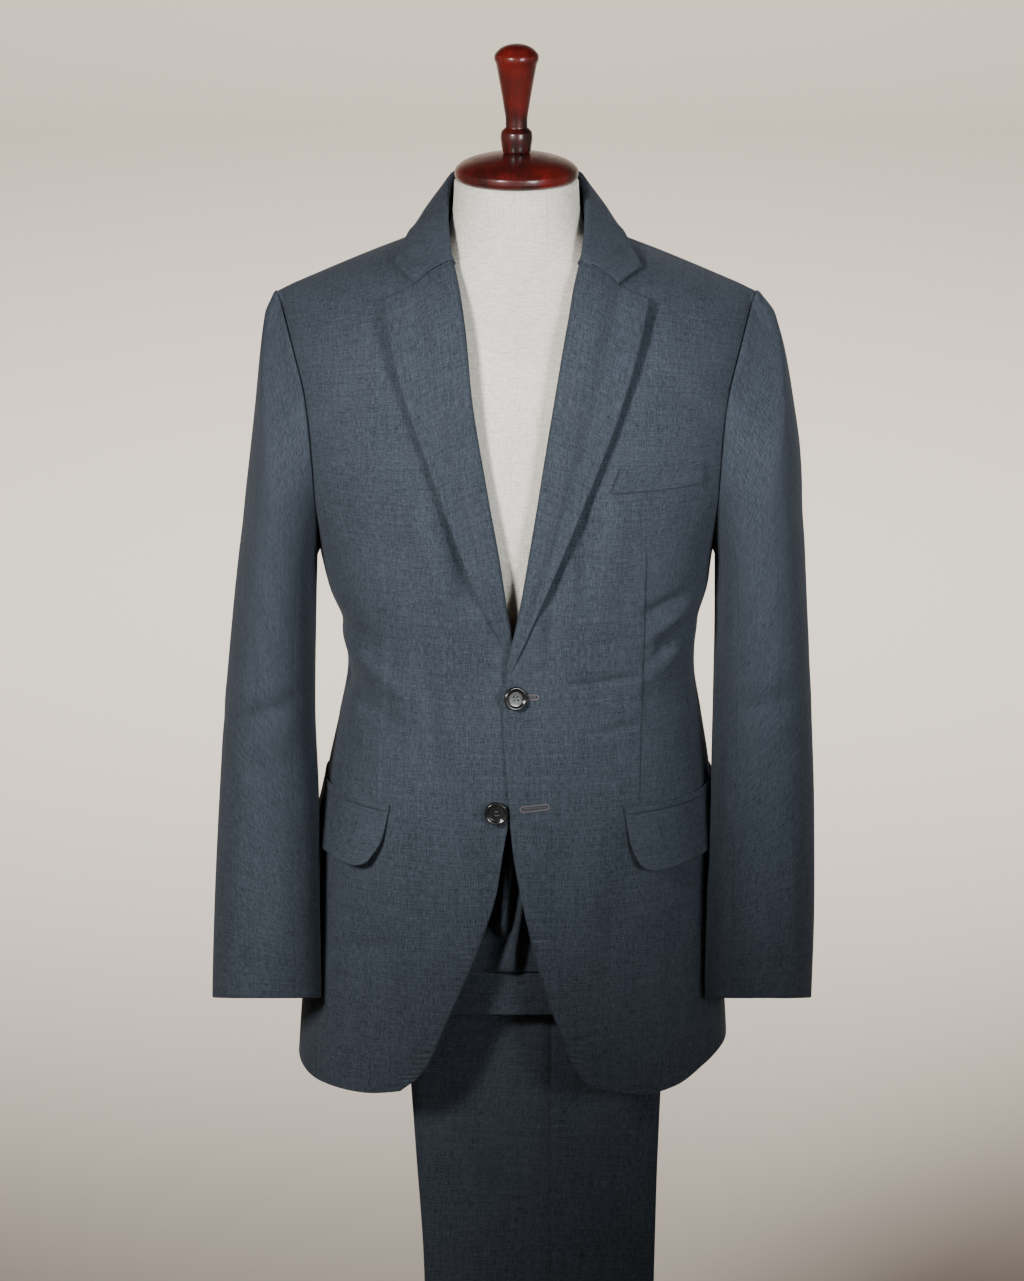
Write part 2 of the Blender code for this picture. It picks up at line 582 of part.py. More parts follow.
def collarGrid(side, stations=12):
    """Outside of the fall and then the inside of the stand, for one half."""
    at = np.linspace(0, 1, stations)
    read = lambda k: np.stack([smooth(COLLAR, at, k + i) for i in range(3)], -1)
    rollLine, leaf, foot = read(1), read(4), read(7)
    t = np.linspace(0, 1, 5)[:, None, None]
    swell = np.sin(np.pi * t) * 0.004
    front = ease(at, 0.7, 0.95) * (side > 0)
    leaf = leaf + front[:, None] * np.array([0.0020, -0.0015, -0.0035])
    out = leaf - rollLine
    out[..., 2] = 0
    out /= np.maximum(np.linalg.norm(out, axis=-1, keepdims=True), 1e-9)
    fall = mix(leaf, rollLine + out * 0.0022, t) + swell * out
    low = overShoulder(fall[:4], COLLAR_LIFT)
    fall = np.concatenate([low, fall[4:]])
    top = (rollLine + np.array([0, 0, 0.0012]))[None]
    stand = mix(rollLine - out * 0.0016, foot, np.linspace(0, 1, 3)[:, None, None])
    grid = np.concatenate([fall, top, stand]).transpose(1, 0, 2)
    grid[..., 0] *= side
    return grid


whole = np.concatenate([collarGrid(-1)[1:][::-1], collarGrid(1)])
shell("jacket_collar", whole, whole + 0.0016 * normals(whole))


# Pocket flaps: height and how far out the front end lies; the back end mirrors its rounding
FLAP_LEFT = [(0.9445, 0.1120), (0.9480, 0.1035), (0.9545, 0.0995), (0.9680, 0.0955), (0.9940, 0.0918)]
FLAP_RIGHT = [(0.9445, 0.1300), (0.9480, 0.1225), (0.9545, 0.1185), (0.9680, 0.1125), (0.9940, 0.1080)]
FLAP_BACK_ANGLE = 97
JET_TOP_Z = 1.0005
for side, label, table in ((1, "left", FLAP_LEFT), (-1, "right", FLAP_RIGHT)):
    u = np.linspace(0, 1, 10)
    rows = []
    for z in (0.9445, 0.9480, 0.9545, 0.9680, 0.9940):
        start = angleAt(side * smooth(table, z), z)
        rounded = (smooth(table, z) - table[-1][1]) / 0.17 * 57.3
        rows.append(lowerBody(mix(start, side * (FLAP_BACK_ANGLE - rounded), u), np.full(10, z)))
    raised("pocket_flap_" + label, np.array(rows), TRIM, LIFT + 0.0006)
    rows = []
    for z in (0.9945, 0.9975, JET_TOP_Z):
        start = angleAt(side * (table[-1][1] - 0.0008), z)
        rows.append(lowerBody(mix(start, side * (FLAP_BACK_ANGLE + 0.4), u), np.full(10, z)))
    raised("pocket_jetting_" + label, np.array(rows), TRIM, LIFT + 0.0004)

# Breast welt on the wearer's left: inner and outer ends of its lower and upper edges
u = np.linspace(0, 1, 6)
rows = [frontPoint(mix(low[0], high[0], u), mix(low[1], high[1], u))
        for low, high in (((0.0784, 1.2774), (0.1560, 1.2786)), ((0.0826, 1.2880), (0.1560, 1.2882)),
                          ((0.0868, 1.2986), (0.1560, 1.2978)))]
raised("breast_welt", np.array(rows), TRIM, LIFT + 0.0003)


def turned(name, profile, foot, axis, look, sides=24):
    """Turned piece on any axis: profile of radius and distance along the axis from the foot."""
    axis = np.asarray(axis, float) / np.linalg.norm(axis)
    first = np.cross(axis, (0.0, 0.0, 1.0) if abs(axis[2]) < 0.9 else (1.0, 0.0, 0.0))
    first /= np.linalg.norm(first)
    second = np.cross(axis, first)
    points, faces = [], []
    for r, away in profile:
        for t in np.arange(sides) * 2 * math.pi / sides:
            points.append(np.asarray(foot) + axis * away + r * (math.cos(t) * first + math.sin(t) * second))
    for i in range(len(profile) - 1):
        for j in range(sides):
            a, b = i * sides + j, i * sides + (j + 1) % sides
            faces.append((a, b, b + sides, a + sides))
    faces.append(tuple(reversed(range(sides))))
    faces.append(tuple(range((len(profile) - 1) * sides, len(profile) * sides)))
    return solid(name, points, faces, look)


# Buttons: one fastened through the left front, one free on the right front
def button(name, x, z, inwards, shank):
    surface = frontPoint(x, z) + np.array([0, inwards, 0])
    n = bodyNormals(surface)
    k = shank
    profile = [(0.0022, 0), (0.0022, k), (0.0080, k), (BUTTON_R - 0.0006, k + 0.0008), (BUTTON_R, k + 0.0018),
               (BUTTON_R - 0.0004, k + BUTTON_H - 0.0005), (BUTTON_R - 0.0013, k + BUTTON_H),
               (BUTTON_R - 0.0026, k + BUTTON_H - 0.0005), (BUTTON_R - 0.0034, k + BUTTON_H - 0.0011),
               (0.0020, k + BUTTON_H - 0.0013)]
    turned(name, profile, surface + n * LIFT, n, "button", 22)


button("front_button_1", -0.0019, 1.1009, 0.0, 0.0010)
button("front_button_2", -0.0172, 0.9995, 0.0034, 0.0040)


def rings(name, table, look, sides, power=2.2):
    """Upright body closed at both ends: height, half width, front, back."""
    turn = np.arange(sides) * 2 * math.pi / sides
    c, s = np.cos(turn), np.sin(turn)
    points, faces = [], []
    for z, half, front, back in table:
        x = half * np.sign(s) * np.abs(s) ** (2 / power)
        y = np.where(c > 0, -front, back) * np.abs(c) ** (2 / power)
        points += list(zip(x, y, [z] * sides))
    for i in range(len(table) - 1):
        for j in range(sides):
            a, b = i * sides + j, i * sides + (j + 1) % sides
            faces.append((a, b, b + sides, a + sides))
    faces.append(tuple(reversed(range(sides))))
    faces.append(tuple(range((len(table) - 1) * sides, len(table) * sides)))
    return solid(name, points, faces, look)


# Dress form: height, half width, front, back
TORSO = [
    (0.992, 0.1180, 0.0880, 0.0680), (0.996, 0.1300, 0.0990, 0.0780), (1.008, 0.1370, 0.1060, 0.0830),
    (1.050, 0.1370, 0.1070, 0.0810), (1.100, 0.1350, 0.1060, 0.0790), (1.170, 0.1490, 0.1130, 0.0900),
    (1.240, 0.1600, 0.1170, 0.1000), (1.300, 0.1650, 0.1160, 0.1040), (1.350, 0.1650, 0.1090, 0.1000),
    (1.385, 0.1600, 0.0990, 0.0930), (1.410, 0.1460, 0.0890, 0.0850), (1.432, 0.1180, 0.0780, 0.0760),
    (1.450, 0.0890, 0.0680, 0.0675), (1.465, 0.0690, 0.0600, 0.0605), (1.480, 0.0575, 0.0548, 0.0555),
    (1.500, 0.0535, 0.0530, 0.0532), (1.5188, 0.0526, 0.0526, 0.0526),
]
rings("form_torso", TORSO, "linen", 28)
lathe("form_neck_cap", [(0.0480, 1.5192), (0.0512, 1.5214), (0.0524, 1.5245), (0.0522, 1.5280), (0.0500, 1.5312),
                        (0.0430, 1.5357), (0.0320, 1.5394), (0.0200, 1.5419), (0.0120, 1.5430)],
      (0, 0), "mahogany", 28)
lathe("form_neck_handle", [(0.0112, 1.5434), (0.0120, 1.5450), (0.0129, 1.5500), (0.0135, 1.5560),
                           (0.0130, 1.5605), (0.0108, 1.5632), (0.0092, 1.5648), (0.0092, 1.5700),
                           (0.0108, 1.5820), (0.0138, 1.6000), (0.0172, 1.6180), (0.0188, 1.6236),
                           (0.0187, 1.6256), (0.0165, 1.6292), (0.0120, 1.6328), (0.0060, 1.6350),
                           (0.0010, 1.6356)], (0, 0), "mahogany", 20)
lathe("stand_pole", [(POLE_R, BASE_H + 0.0003), (POLE_R, 0.9917)], (0, 0), "steel", 20)
lathe("stand_base", [(BASE_R - 0.002, 0.0), (BASE_R, 0.002), (BASE_R, 0.011), (BASE_R - 0.004, 0.0155),
                     (BASE_R - 0.012, BASE_H), (0.0020, BASE_H)], (0, 0), "steel", 36)


def loops(name, rows, look="cloth"):
    """Closed body through a row of loops with as many points each."""
    sides = len(rows[0])
    points = [p for row in rows for p in row]
    faces = []
    for i in range(len(rows) - 1):
        for j in range(sides):
            a, b = i * sides + j, i * sides + (j + 1) % sides
            faces.append((a, b, b + sides, a + sides))
    faces.append(tuple(reversed(range(sides))))
    faces.append(tuple(range((len(rows) - 1) * sides, len(rows) * sides)))
    return solid(name, points, faces, look)


# Trouser bar: a rod bent to a flat ring that stands in front of the pole
RING_X = (-0.112, 0.144)
RING_BACK_Y = -0.0278
RING_CORNER = 0.014
ROD_R = 0.0065


def ringPath():
    xs, ys = RING_X, (BAR_Y, RING_BACK_Y)
    points = []
    for cx, cy, start in ((xs[1] - RING_CORNER, ys[0] + RING_CORNER, -90), (xs[1] - RING_CORNER, ys[1] - RING_CORNER, 0),
                          (xs[0] + RING_CORNER, ys[1] - RING_CORNER, 90), (xs[0] + RING_CORNER, ys[0] + RING_CORNER, 180)):
        for k in range(5):
            t = math.radians(start + 22.5 * k)
            points.append((cx + RING_CORNER * math.cos(t), cy + RING_CORNER * math.sin(t)))
    return np.array(points)


path = ringPath()
ahead = np.roll(path, -1, 0) - np.roll(path, 1, 0)
ahead /= np.linalg.norm(ahead, axis=1, keepdims=True)
side2 = np.stack([ahead[:, 1], -ahead[:, 0]], -1)
around = np.arange(10) * 2 * math.pi / 10
grid = np.zeros((10, len(path), 3))
for i, t in enumerate(around):
    grid[i, :, :2] = path + side2 * ROD_R * math.cos(t)
    grid[i, :, 2] = BAR_Z + ROD_R * math.sin(t)
points = grid.transpose(1, 0, 2).reshape(-1, 3)
faces = [(i * 10 + j, i * 10 + (j + 1) % 10, (i + 1) % len(path) * 10 + (j + 1) % 10, (i + 1) % len(path) * 10 + j)
         for i in range(len(path)) for j in range(10)]
solid("trouser_bar", points, faces, "steel")

clampTurn = np.arange(20) * 2 * math.pi / 20
clamp = [[(r * math.cos(t), r * math.sin(t), z) for t in clampTurn]
         for r, z in ((POLE_R + 0.0003, 0.948), (POLE_R + 0.0060, 0.948), (POLE_R + 0.0060, 0.982), (POLE_R + 0.0003, 0.982))]
points = [p for row in clamp for p in row]
faces = [(i * 20 + j, i * 20 + (j + 1) % 20, (i + 1) % 4 * 20 + (j + 1) % 20, (i + 1) % 4 * 20 + j)
         for i in range(4) for j in range(20)]
solid("bar_clamp", points, faces, "steel")

# Trousers, folded lengthwise and hung over the bar with the waist end in front.
# Distance along from the waist seam, half width, sideways shift
LEG_SHAPE = [
    (0.000, 0.1070, 0.0000), (0.060, 0.1080, 0.0000), (0.125, 0.1120, 0.0000), (0.200, 0.1240, -0.0010),
    (0.260, 0.1260, -0.0010), (0.320, 0.1180, 0.0000), (0.370, 0.1112, 0.0000), (0.460, 0.1060, 0.0010),
    (0.560, 0.1016, 0.0030), (0.700, 0.0985, 0.0035), (0.850, 0.0960, 0.0035), (1.100, 0.0945, 0.0035),
]
WAIST_SEAM_Z = 0.8401
RIDGES = [(-0.004, 0.011, 0.0110), (-0.050, 0.016, 0.0050), (0.046, 0.015, 0.0060), (0.085, 0.018, 0.0040)]


def legPoint(radius, away, part):
    """Point of a leg layer: radius from the bar's axis, distance along, place across from -1 to 1."""
    drop = BAR_Z - WAIST_SEAM_Z
    bend = math.pi * BAR_BEND
    half, shift = smooth(LEG_SHAPE, away), smooth(LEG_SHAPE, away, 2)
    x = TROUSER_X + shift + half * part
    if away < drop:
        y, z = BAR_Y - radius, WAIST_SEAM_Z + away
        rise = math.sin(math.pi * min(away / drop, 1)) ** 0.7 if away > 0 else 0.0
        for place, width, height in RIDGES:
            y = y - height * rise * np.exp(-((x - place - 0.010 * away / drop) / width) ** 2)
    elif away < drop + bend:
        t = (away - drop) / bend * math.pi
        y, z = BAR_Y - radius * math.cos(t), BAR_Z + radius * math.sin(t)
    else:
        y, z = BAR_Y + radius, BAR_Z - (away - drop - bend)
        low = ease(away, 0.45, 0.80)
        y = y + low * 0.0035 * np.sin((x - TROUSER_X) * 38.0 + 0.6) - 0.006 * low
    return np.stack([x, y + 0 * x, np.full(np.shape(x), z)], -1)


BAR_BEND = 0.0118
across = np.array([-1.0, -0.965, -0.65, -0.36, -0.12, 0.12, 0.36, 0.65, 0.965, 1.0])
fullness = np.array([0.30, 0.85, 1, 1, 1, 1, 1, 1, 0.85, 0.30])
drop = BAR_Z - WAIST_SEAM_Z
legLength = drop + math.pi * BAR_BEND + BAR_Z - TROUSER_HEM_Z
stops = np.concatenate([np.linspace(0, drop, 6), drop + math.pi * BAR_BEND * np.linspace(0, 1, 7)[1:],
                        drop + math.pi * BAR_BEND + (BAR_Z - TROUSER_HEM_Z) * np.linspace(0, 1, 12)[1:]])
SLOT_DEPTH = 0.030
SLOT = 0.0007
for label, radius in (("right", 0.0096), ("left", 0.0147)):
    rows = []
    for away in stops:
        out = [legPoint(radius + LEG_WALL / 2 * f, away, c) for c, f in zip(across, fullness)]
        low = [legPoint(radius - LEG_WALL / 2 * f, away, c) for c, f in zip(across, fullness)]
        rows.append(out + low[::-1])
    for away in (stops[-1], stops[-1] - SLOT_DEPTH):
        narrow = across * 0.965
        out = [legPoint(radius + SLOT * min(f, 0.9), away, c) for c, f in zip(narrow, fullness)]
        low = [legPoint(radius - SLOT * min(f, 0.9), away, c) for c, f in zip(narrow, fullness)]
        rows.append(out + low[::-1])
    loops("trouser_leg_" + label, rows)

# Waistband: a ring folded flat in four layers, tucked in at both edges
BAND_X = (TROUSER_X - 0.1070, TROUSER_X + 0.1070)
BAND_WALL = 0.0018
LAYER_Y = (-0.0822, -0.0789, -0.0756, -0.0723)
TUCK = 0.096


def bandPath():
    """Middle line of the band, seen from above."""
    r = (LAYER_Y[1] - LAYER_Y[0]) / 2
    left, right = BAND_X
    y1, y2, y3, y4 = LAYER_Y
    points = []

    def bend(cx, cy, start, stop):
        for t in np.linspace(start, stop, 5):
            points.append((cx + r * math.cos(math.radians(t)), cy + r * math.sin(math.radians(t))))

    bend(right - r, (y1 + y2) / 2, -90, 90)
    bend(right - TUCK, (y2 + y3) / 2, 270, 90)
    bend(right - r, (y3 + y4) / 2, -90, 90)
    bend(left + r, (y3 + y4) / 2, 90, 270)
    bend(left + TUCK, (y2 + y3) / 2, 90, -90)
    bend(left + r, (y1 + y2) / 2, 90, 270)
    return np.array(points)


path = bandPath()
ahead = np.roll(path, -1, 0) - np.roll(path, 1, 0)
ahead /= np.linalg.norm(ahead, axis=1, keepdims=True)
away = np.stack([ahead[:, 1], -ahead[:, 0]], -1)
outer, inner = np.zeros((2, len(path), 3)), np.zeros((2, len(path), 3))
for i, z in enumerate((WAIST_SEAM_Z - 0.0004 - WAISTBAND_H, WAIST_SEAM_Z - 0.0004)):
    outer[i, :, :2], inner[i, :, :2] = path + away * BAND_WALL / 2, path - away * BAND_WALL / 2
    outer[i, :, 2] = inner[i, :, 2] = z
shell("trouser_waistband", outer, inner, "cloth", True)
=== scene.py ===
import math
import bpy
import numpy as np
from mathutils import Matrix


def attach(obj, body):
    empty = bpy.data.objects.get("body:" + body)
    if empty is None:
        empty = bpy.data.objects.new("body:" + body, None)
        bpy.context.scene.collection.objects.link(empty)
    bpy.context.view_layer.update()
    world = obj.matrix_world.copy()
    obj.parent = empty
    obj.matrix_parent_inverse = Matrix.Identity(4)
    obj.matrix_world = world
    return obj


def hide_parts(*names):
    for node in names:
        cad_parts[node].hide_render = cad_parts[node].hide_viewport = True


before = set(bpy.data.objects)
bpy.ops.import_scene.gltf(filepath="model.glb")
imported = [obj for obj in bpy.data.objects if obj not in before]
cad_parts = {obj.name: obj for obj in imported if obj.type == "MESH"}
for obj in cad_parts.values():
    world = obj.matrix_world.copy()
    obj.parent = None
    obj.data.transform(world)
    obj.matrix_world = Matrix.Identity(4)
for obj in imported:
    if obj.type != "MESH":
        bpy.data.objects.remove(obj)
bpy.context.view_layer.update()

body = "root"

# Metres. X is the wearer's left, Y the back, Z up. Surfaces are the outside of the cloth.
jacket = {
    "cloth": 0.0020, "gap": 0.0004, "lift": 0.0007, "trim": 0.0014,
    "sectionPower": 2.4, "middleX": 0.0031,
    "hemZ": 0.740, "chestZ": 1.300, "underarmZ": 1.205,
    "shoulderY": 0.006, "neckX": 0.073,
    "lapelTopZ": 1.4618, "lapelCornerZ": 1.4272, "breakZ": 1.128,
    "cornerLeftZ": 0.7545, "cornerRightZ": 0.7475,
    "seamTurn": 0.04,  # half a seam's gap, in degrees round the body
    "foldGain": 2.0,
}
cloth, gap, lift, trim = (jacket[k] for k in ("cloth", "gap", "lift", "trim"))
sectionPower, middleX = jacket["sectionPower"], jacket["middleX"]
hemZ, chestZ, underarmZ = jacket["hemZ"], jacket["chestZ"], jacket["underarmZ"]
shoulderY, seamTurn = jacket["shoulderY"], jacket["seamTurn"]

# Height, middle, half width, front, back
bodyTable = [
    (0.730, -0.0030, 0.1895, 0.1290, 0.1200), (0.800, -0.0025, 0.1850, 0.1295, 0.1210),
    (0.880, -0.0010, 0.1765, 0.1300, 0.1190), (0.950, 0.0000, 0.1710, 0.1300, 0.1140),
    (1.000, 0.0020, 0.1660, 0.1300, 0.1060), (1.050, 0.0035, 0.1570, 0.1290, 0.0980),
    (1.100, 0.0040, 0.1495, 0.1290, 0.0960), (1.135, 0.0035, 0.1515, 0.1310, 0.0990),
    (1.170, 0.0015, 0.1630, 0.1335, 0.1060), (1.205, 0.0000, 0.1695, 0.1345, 0.1130),
    (1.230, 0.0000, 0.1760, 0.1345, 0.1170), (1.260, 0.0000, 0.1870, 0.1335, 0.1200),
    (1.300, 0.0000, 0.2000, 0.1310, 0.1220),
]
# Hem height by angle round the body
hemTable = [(-180, 0.742), (-90, 0.742), (-60, 0.737), (0, 0.7365), (32, 0.7370), (45, 0.7415),
            (60, 0.7530), (75, 0.7590), (90, 0.7600), (125, 0.7520), (180, 0.742)]
# Half width, height
shoulderTable = [(0.000, 1.5100), (0.055, 1.4850), (0.073, 1.4765), (0.086, 1.4705),
                 (0.122, 1.4565), (0.165, 1.4390), (0.2035, 1.4225), (0.215, 1.4150)]
# Height, half width at the front, half width at the back
armholeTable = [(1.205, 0.1683, 0.1683), (1.230, 0.1697, 0.1710), (1.253, 0.1712, 0.1735),
                (1.300, 0.1730, 0.1765), (1.345, 0.1780, 0.1815), (1.381, 0.1880, 0.1900),
                (1.406, 0.1965, 0.1975), (1.4232, 0.2035, 0.2035)]
# Height, front angle, back angle
seamTable = [(0.730, 63, 116), (0.900, 63, 116), (1.080, 67, 113), (1.205, 80, 100)]
# Free edges of the fronts: height, position
edgeLeft = [(0.745, 0.0650), (0.755, 0.0581), (0.7720, 0.0470), (0.7955, 0.0391), (0.8164, 0.0313),
            (0.8553, 0.0193), (0.9093, 0.0064), (0.9665, -0.0038), (1.0170, -0.0080), (1.0640, -0.0114),
            (1.0923, -0.0122), (1.1169, -0.0089), (1.1280, -0.0070)]
edgeRight = [(0.7400, -0.1040), (0.7476, -0.0958), (0.7575, -0.0846), (0.7730, -0.0742), (0.7940, -0.0656),
             (0.8219, -0.0543), (0.8769, -0.0320), (0.9254, -0.0166), (0.9532, -0.0123), (0.9835, -0.0072),
             (1.0200, 0.0020), (1.0600, 0.0090), (1.1000, 0.0110), (1.1280, 0.0030)]
# Roll lines, then lapel edges: height, distance out from the middle
rollLeft = [(1.1280, -0.0070), (1.1430, -0.0030), (1.1690, 0.0029), (1.2535, 0.0172), (1.3372, 0.0305),
            (1.4171, 0.0447), (1.4630, 0.0560), (1.4800, 0.0730)]
rollRight = [(1.1280, -0.0030), (1.1519, 0.0055), (1.2215, 0.0164), (1.2880, 0.0281), (1.3544, 0.0389),
             (1.4171, 0.0456), (1.4630, 0.0558), (1.4800, 0.0730)]
lapelLeft = [(1.1240, -0.0038), (1.1606, 0.0113), (1.2201, 0.0365), (1.2789, 0.0605), (1.3446, 0.0852),
             (1.3926, 0.1000), (1.4290, 0.1095)]
lapelRight = [(1.1388, 0.0072), (1.1650, 0.0215), (1.2332, 0.0490), (1.2962, 0.0715), (1.3532, 0.0915),
              (1.3926, 0.1022), (1.4300, 0.1090)]
# Folds of the fronts: position, height, direction in degrees, half length, half width, height of the ridge
folds = [
    (-0.137, 1.3818, 20, 0.024, 0.0042, -0.0013), (-0.139, 1.3745, 20, 0.024, 0.0042, 0.0011),
    (-0.140, 1.3675, 20, 0.024, 0.0042, -0.0013), (-0.141, 1.3605, 21, 0.024, 0.0042, 0.0011),
    (-0.141, 1.3535, 22, 0.024, 0.0042, -0.0011), (-0.117, 1.4120, 95, 0.020, 0.0060, -0.0010),
    (0.143, 1.3550, -31, 0.030, 0.0055, -0.0022), (0.149, 1.3670, -31, 0.030, 0.0060, 0.0019),
    (0.135, 1.3350, -33, 0.035, 0.0100, 0.0012), (-0.072, 1.0750, 96, 0.070, 0.0080, -0.0015),
    (-0.059, 1.0700, 95, 0.070, 0.0090, 0.0013), (0.127, 1.1745, 19, 0.018, 0.0060, -0.0021),
    (0.130, 1.1570, 30, 0.022, 0.0065, 0.0024), (0.132, 1.1405, 41, 0.017, 0.0050, -0.0022),
    (0.130, 1.1220, 30, 0.026, 0.0090, 0.0015), (0.070, 1.1465, 0, 0.018, 0.0040, -0.0010),
    (0.077, 1.1118, 3, 0.027, 0.0040, -0.0017), (0.071, 1.1020, -27, 0.019, 0.0036, -0.0014),
    (0.071, 1.0955, -27, 0.021, 0.0040, 0.0015), (0.086, 1.0695, 5, 0.015, 0.0040, -0.0015),
    (0.124, 1.0920, -35, 0.026, 0.0050, -0.0017), (-0.125, 1.1150, -30, 0.045, 0.0100, 0.0020),
    (-0.135, 1.0850, -24, 0.045, 0.0100, -0.0017), (0.082, 0.8820, 88, 0.045, 0.0120, -0.0017),
    (0.060, 0.9000, 84, 0.100, 0.0180, 0.0016), (-0.125, 0.8700, 14, 0.030, 0.0080, -0.0014),
    (-0.090, 0.8600, 96, 0.100, 0.0200, 0.0015), (0.057, 0.7927, 28, 0.012, 0.0035, -0.0013),
]
# Hollows in the front alone, beside the lapels' edges
hollows = [
    (-0.049, 1.2180, -76, 0.040, 0.0090, -0.0034), (-0.070, 1.2150, -74, 0.060, 0.0120, 0.0014),
    (0.058, 1.2250, 90, 0.034, 0.0080, -0.0034), (0.031, 1.1650, 84, 0.030, 0.0065, -0.0028),
    (0.078, 1.2050, 76, 0.055, 0.0130, 0.0014),
]
# Darts: height, place
dartLeft = [(0.995, 0.1045), (1.010, 0.1048), (1.100, 0.1070), (1.215, 0.1092), (1.235, 0.1094)]
dartRight = [(0.995, -0.1172), (1.022, -0.1158), (1.095, -0.1120), (1.150, -0.1085),
             (1.236, -0.1145), (1.250, -0.1150)]


def smooth(table, at, column=1):  # cubic through a table's rows, with even slopes
    rows = np.asarray(table, float)
    x, y = rows[:, 0], rows[:, column]
    step = np.diff(x)
    slope = np.diff(y) / step
    tangent = np.empty_like(y)
    tangent[1:-1] = np.where(slope[:-1] * slope[1:] > 0,
                             2 * slope[:-1] * slope[1:] / (slope[:-1] + slope[1:] + 1e-12), 0.0)
    tangent[0], tangent[-1] = slope[0], slope[-1]
    at = np.clip(np.asarray(at, float), x[0], x[-1])
    i = np.clip(np.searchsorted(x, at, side="right") - 1, 0, len(x) - 2)
    t = (at - x[i]) / step[i]
    return ((1 + 2 * t) * (1 - t) ** 2 * y[i] + t * (1 - t) ** 2 * step[i] * tangent[i]
            + t * t * (3 - 2 * t) * y[i + 1] + t * t * (t - 1) * step[i] * tangent[i + 1])


def ease(value, low, high):  # 0 below low, 1 above high, smooth between
    t = np.clip((np.asarray(value, float) - low) / (high - low), 0, 1)
    return t * t * (3 - 2 * t)


def mix(a, b, t):  # a at t = 0, b at t = 1, straight between
    return a + (b - a) * t


def unit(v):  # each vector over its own length
    return v / np.maximum(np.linalg.norm(v, axis=-1, keepdims=True), 1e-12)


def bell(value, width):  # 1 at nothing, fading to 0 a few widths away
    return np.exp(-(value / width) ** 2)


def foldShape(x, z, front, table=folds):  # sum of long bell-shaped ridges, each turned its own way
    out = np.zeros(np.broadcast(x, z).shape)
    for fx, fz, turn, length, width, height in table:
        c, s = math.cos(math.radians(turn)), math.sin(math.radians(turn))
        along, across = (x - fx) * c + (z - fz) * s, (z - fz) * c - (x - fx) * s
        out = out + jacket["foldGain"] * height * bell(along, length) * bell(across, width)
    return np.where(front, out, 0.0)


def lowerBody(angle, z):  # a squared ellipse at each height, from the table
    turn = np.radians(angle)
    s, c = np.sin(turn), np.cos(turn)
    power = 2 / sectionPower
    depth = np.where(c > 0, -smooth(bodyTable, z, 3), smooth(bodyTable, z, 4))
    x = smooth(bodyTable, z, 1) + smooth(bodyTable, z, 2) * np.sign(s) * np.abs(s) ** power
    y = depth * np.abs(c) ** power
    fold = foldShape(x, z, c > 0.05)
    return np.stack([x + fold * s, y - fold * c, z + 0 * x], -1)


def angleAt(x, z):  # degrees round the body whose squared ellipse reaches x
    part = np.clip((x - smooth(bodyTable, z, 1)) / smooth(bodyTable, z, 2), -0.9995, 0.9995)
    return np.degrees(np.arcsin(np.sign(part) * np.abs(part) ** (sectionPower / 2)))


def hemLift(angle, z):  # the hem table's height over the lowest hem, fading over the next 14 cm
    return (smooth(hemTable, angle) - hemZ) * (1 - ease(z, hemZ, hemZ + 0.14))


def shoulderShape(x, back):  # arch height from the table, depth from the chest's squared ellipse
    height = smooth(shoulderTable, np.abs(x)) - chestZ
    half = smooth(bodyTable, chestZ, 2)
    side = np.clip(1 - (np.abs(x) / half) ** sectionPower, 0, 1) ** (1 / sectionPower)
    side = np.maximum(side, 0.16)
    depth = np.where(back, smooth(bodyTable, chestZ, 4) * side - shoulderY,
                     smooth(bodyTable, chestZ, 3) * side + shoulderY)
    return height, depth, np.where(back, 2.7, 2.5), np.where(back, 2.1, 1.75)


def upperBody(x, rise, back):  # a squared arch from the chest level to the shoulder line
    height, depth, up, level = shoulderShape(x, back)
    turn = rise * math.pi / 2
    z = chestZ + height * np.sin(turn) ** (2 / up)
    away = depth * np.cos(turn) ** (2 / level)
    fold = foldShape(x, z, ~np.asarray(back, bool)) * (1 - ease(rise, 0.5, 0.9))
    y = np.where(back, shoulderY + away, shoulderY - away) - fold
    return np.stack([x + 0 * z, y, z], -1)


def riseAt(x, z, back):  # the part of a quarter turn at which the arch reaches z
    height, depth, up, level = shoulderShape(x, back)
    return np.arcsin(np.clip((z - chestZ) / height, 0, 1) ** (up / 2)) / (math.pi / 2)


def shoulderHeight(x, y):  # the squared arch solved for z
    back = y > shoulderY
    height, depth, up, level = shoulderShape(x, back)
    away = np.clip(np.abs(y - shoulderY) / depth, 0, 1)
    return chestZ + height * np.clip(1 - away ** level, 0, 1) ** (1 / up)


def frontPoint(x, z):  # the front's surface at x and z: squared ellipse below the chest, arch above
    x, z = np.broadcast_arrays(np.asarray(x, float), np.asarray(z, float))
    low = lowerBody(angleAt(x, np.minimum(z, chestZ)), np.minimum(z, chestZ))
    high = upperBody(x, riseAt(x, np.maximum(z, chestZ), False), np.zeros(x.shape, bool))
    return np.where((z <= chestZ)[..., None], low, high)


def bodyField(p):  # sum of powered distances over half sizes, 1 on the surface
    x, y, z = p[..., 0], p[..., 1], p[..., 2]
    low = np.minimum(z, chestZ)
    depth = np.where(y < 0, smooth(bodyTable, low, 3), smooth(bodyTable, low, 4))
    section = ((np.abs(x - smooth(bodyTable, low, 1)) / smooth(bodyTable, low, 2)) ** sectionPower
               + (np.abs(y) / depth) ** sectionPower)
    height, reach, up, level = shoulderShape(x, y > shoulderY)
    arch = (np.maximum(z - chestZ, 0) / height) ** up + (np.abs(y - shoulderY) / reach) ** level
    return np.where(z <= chestZ, section, arch)


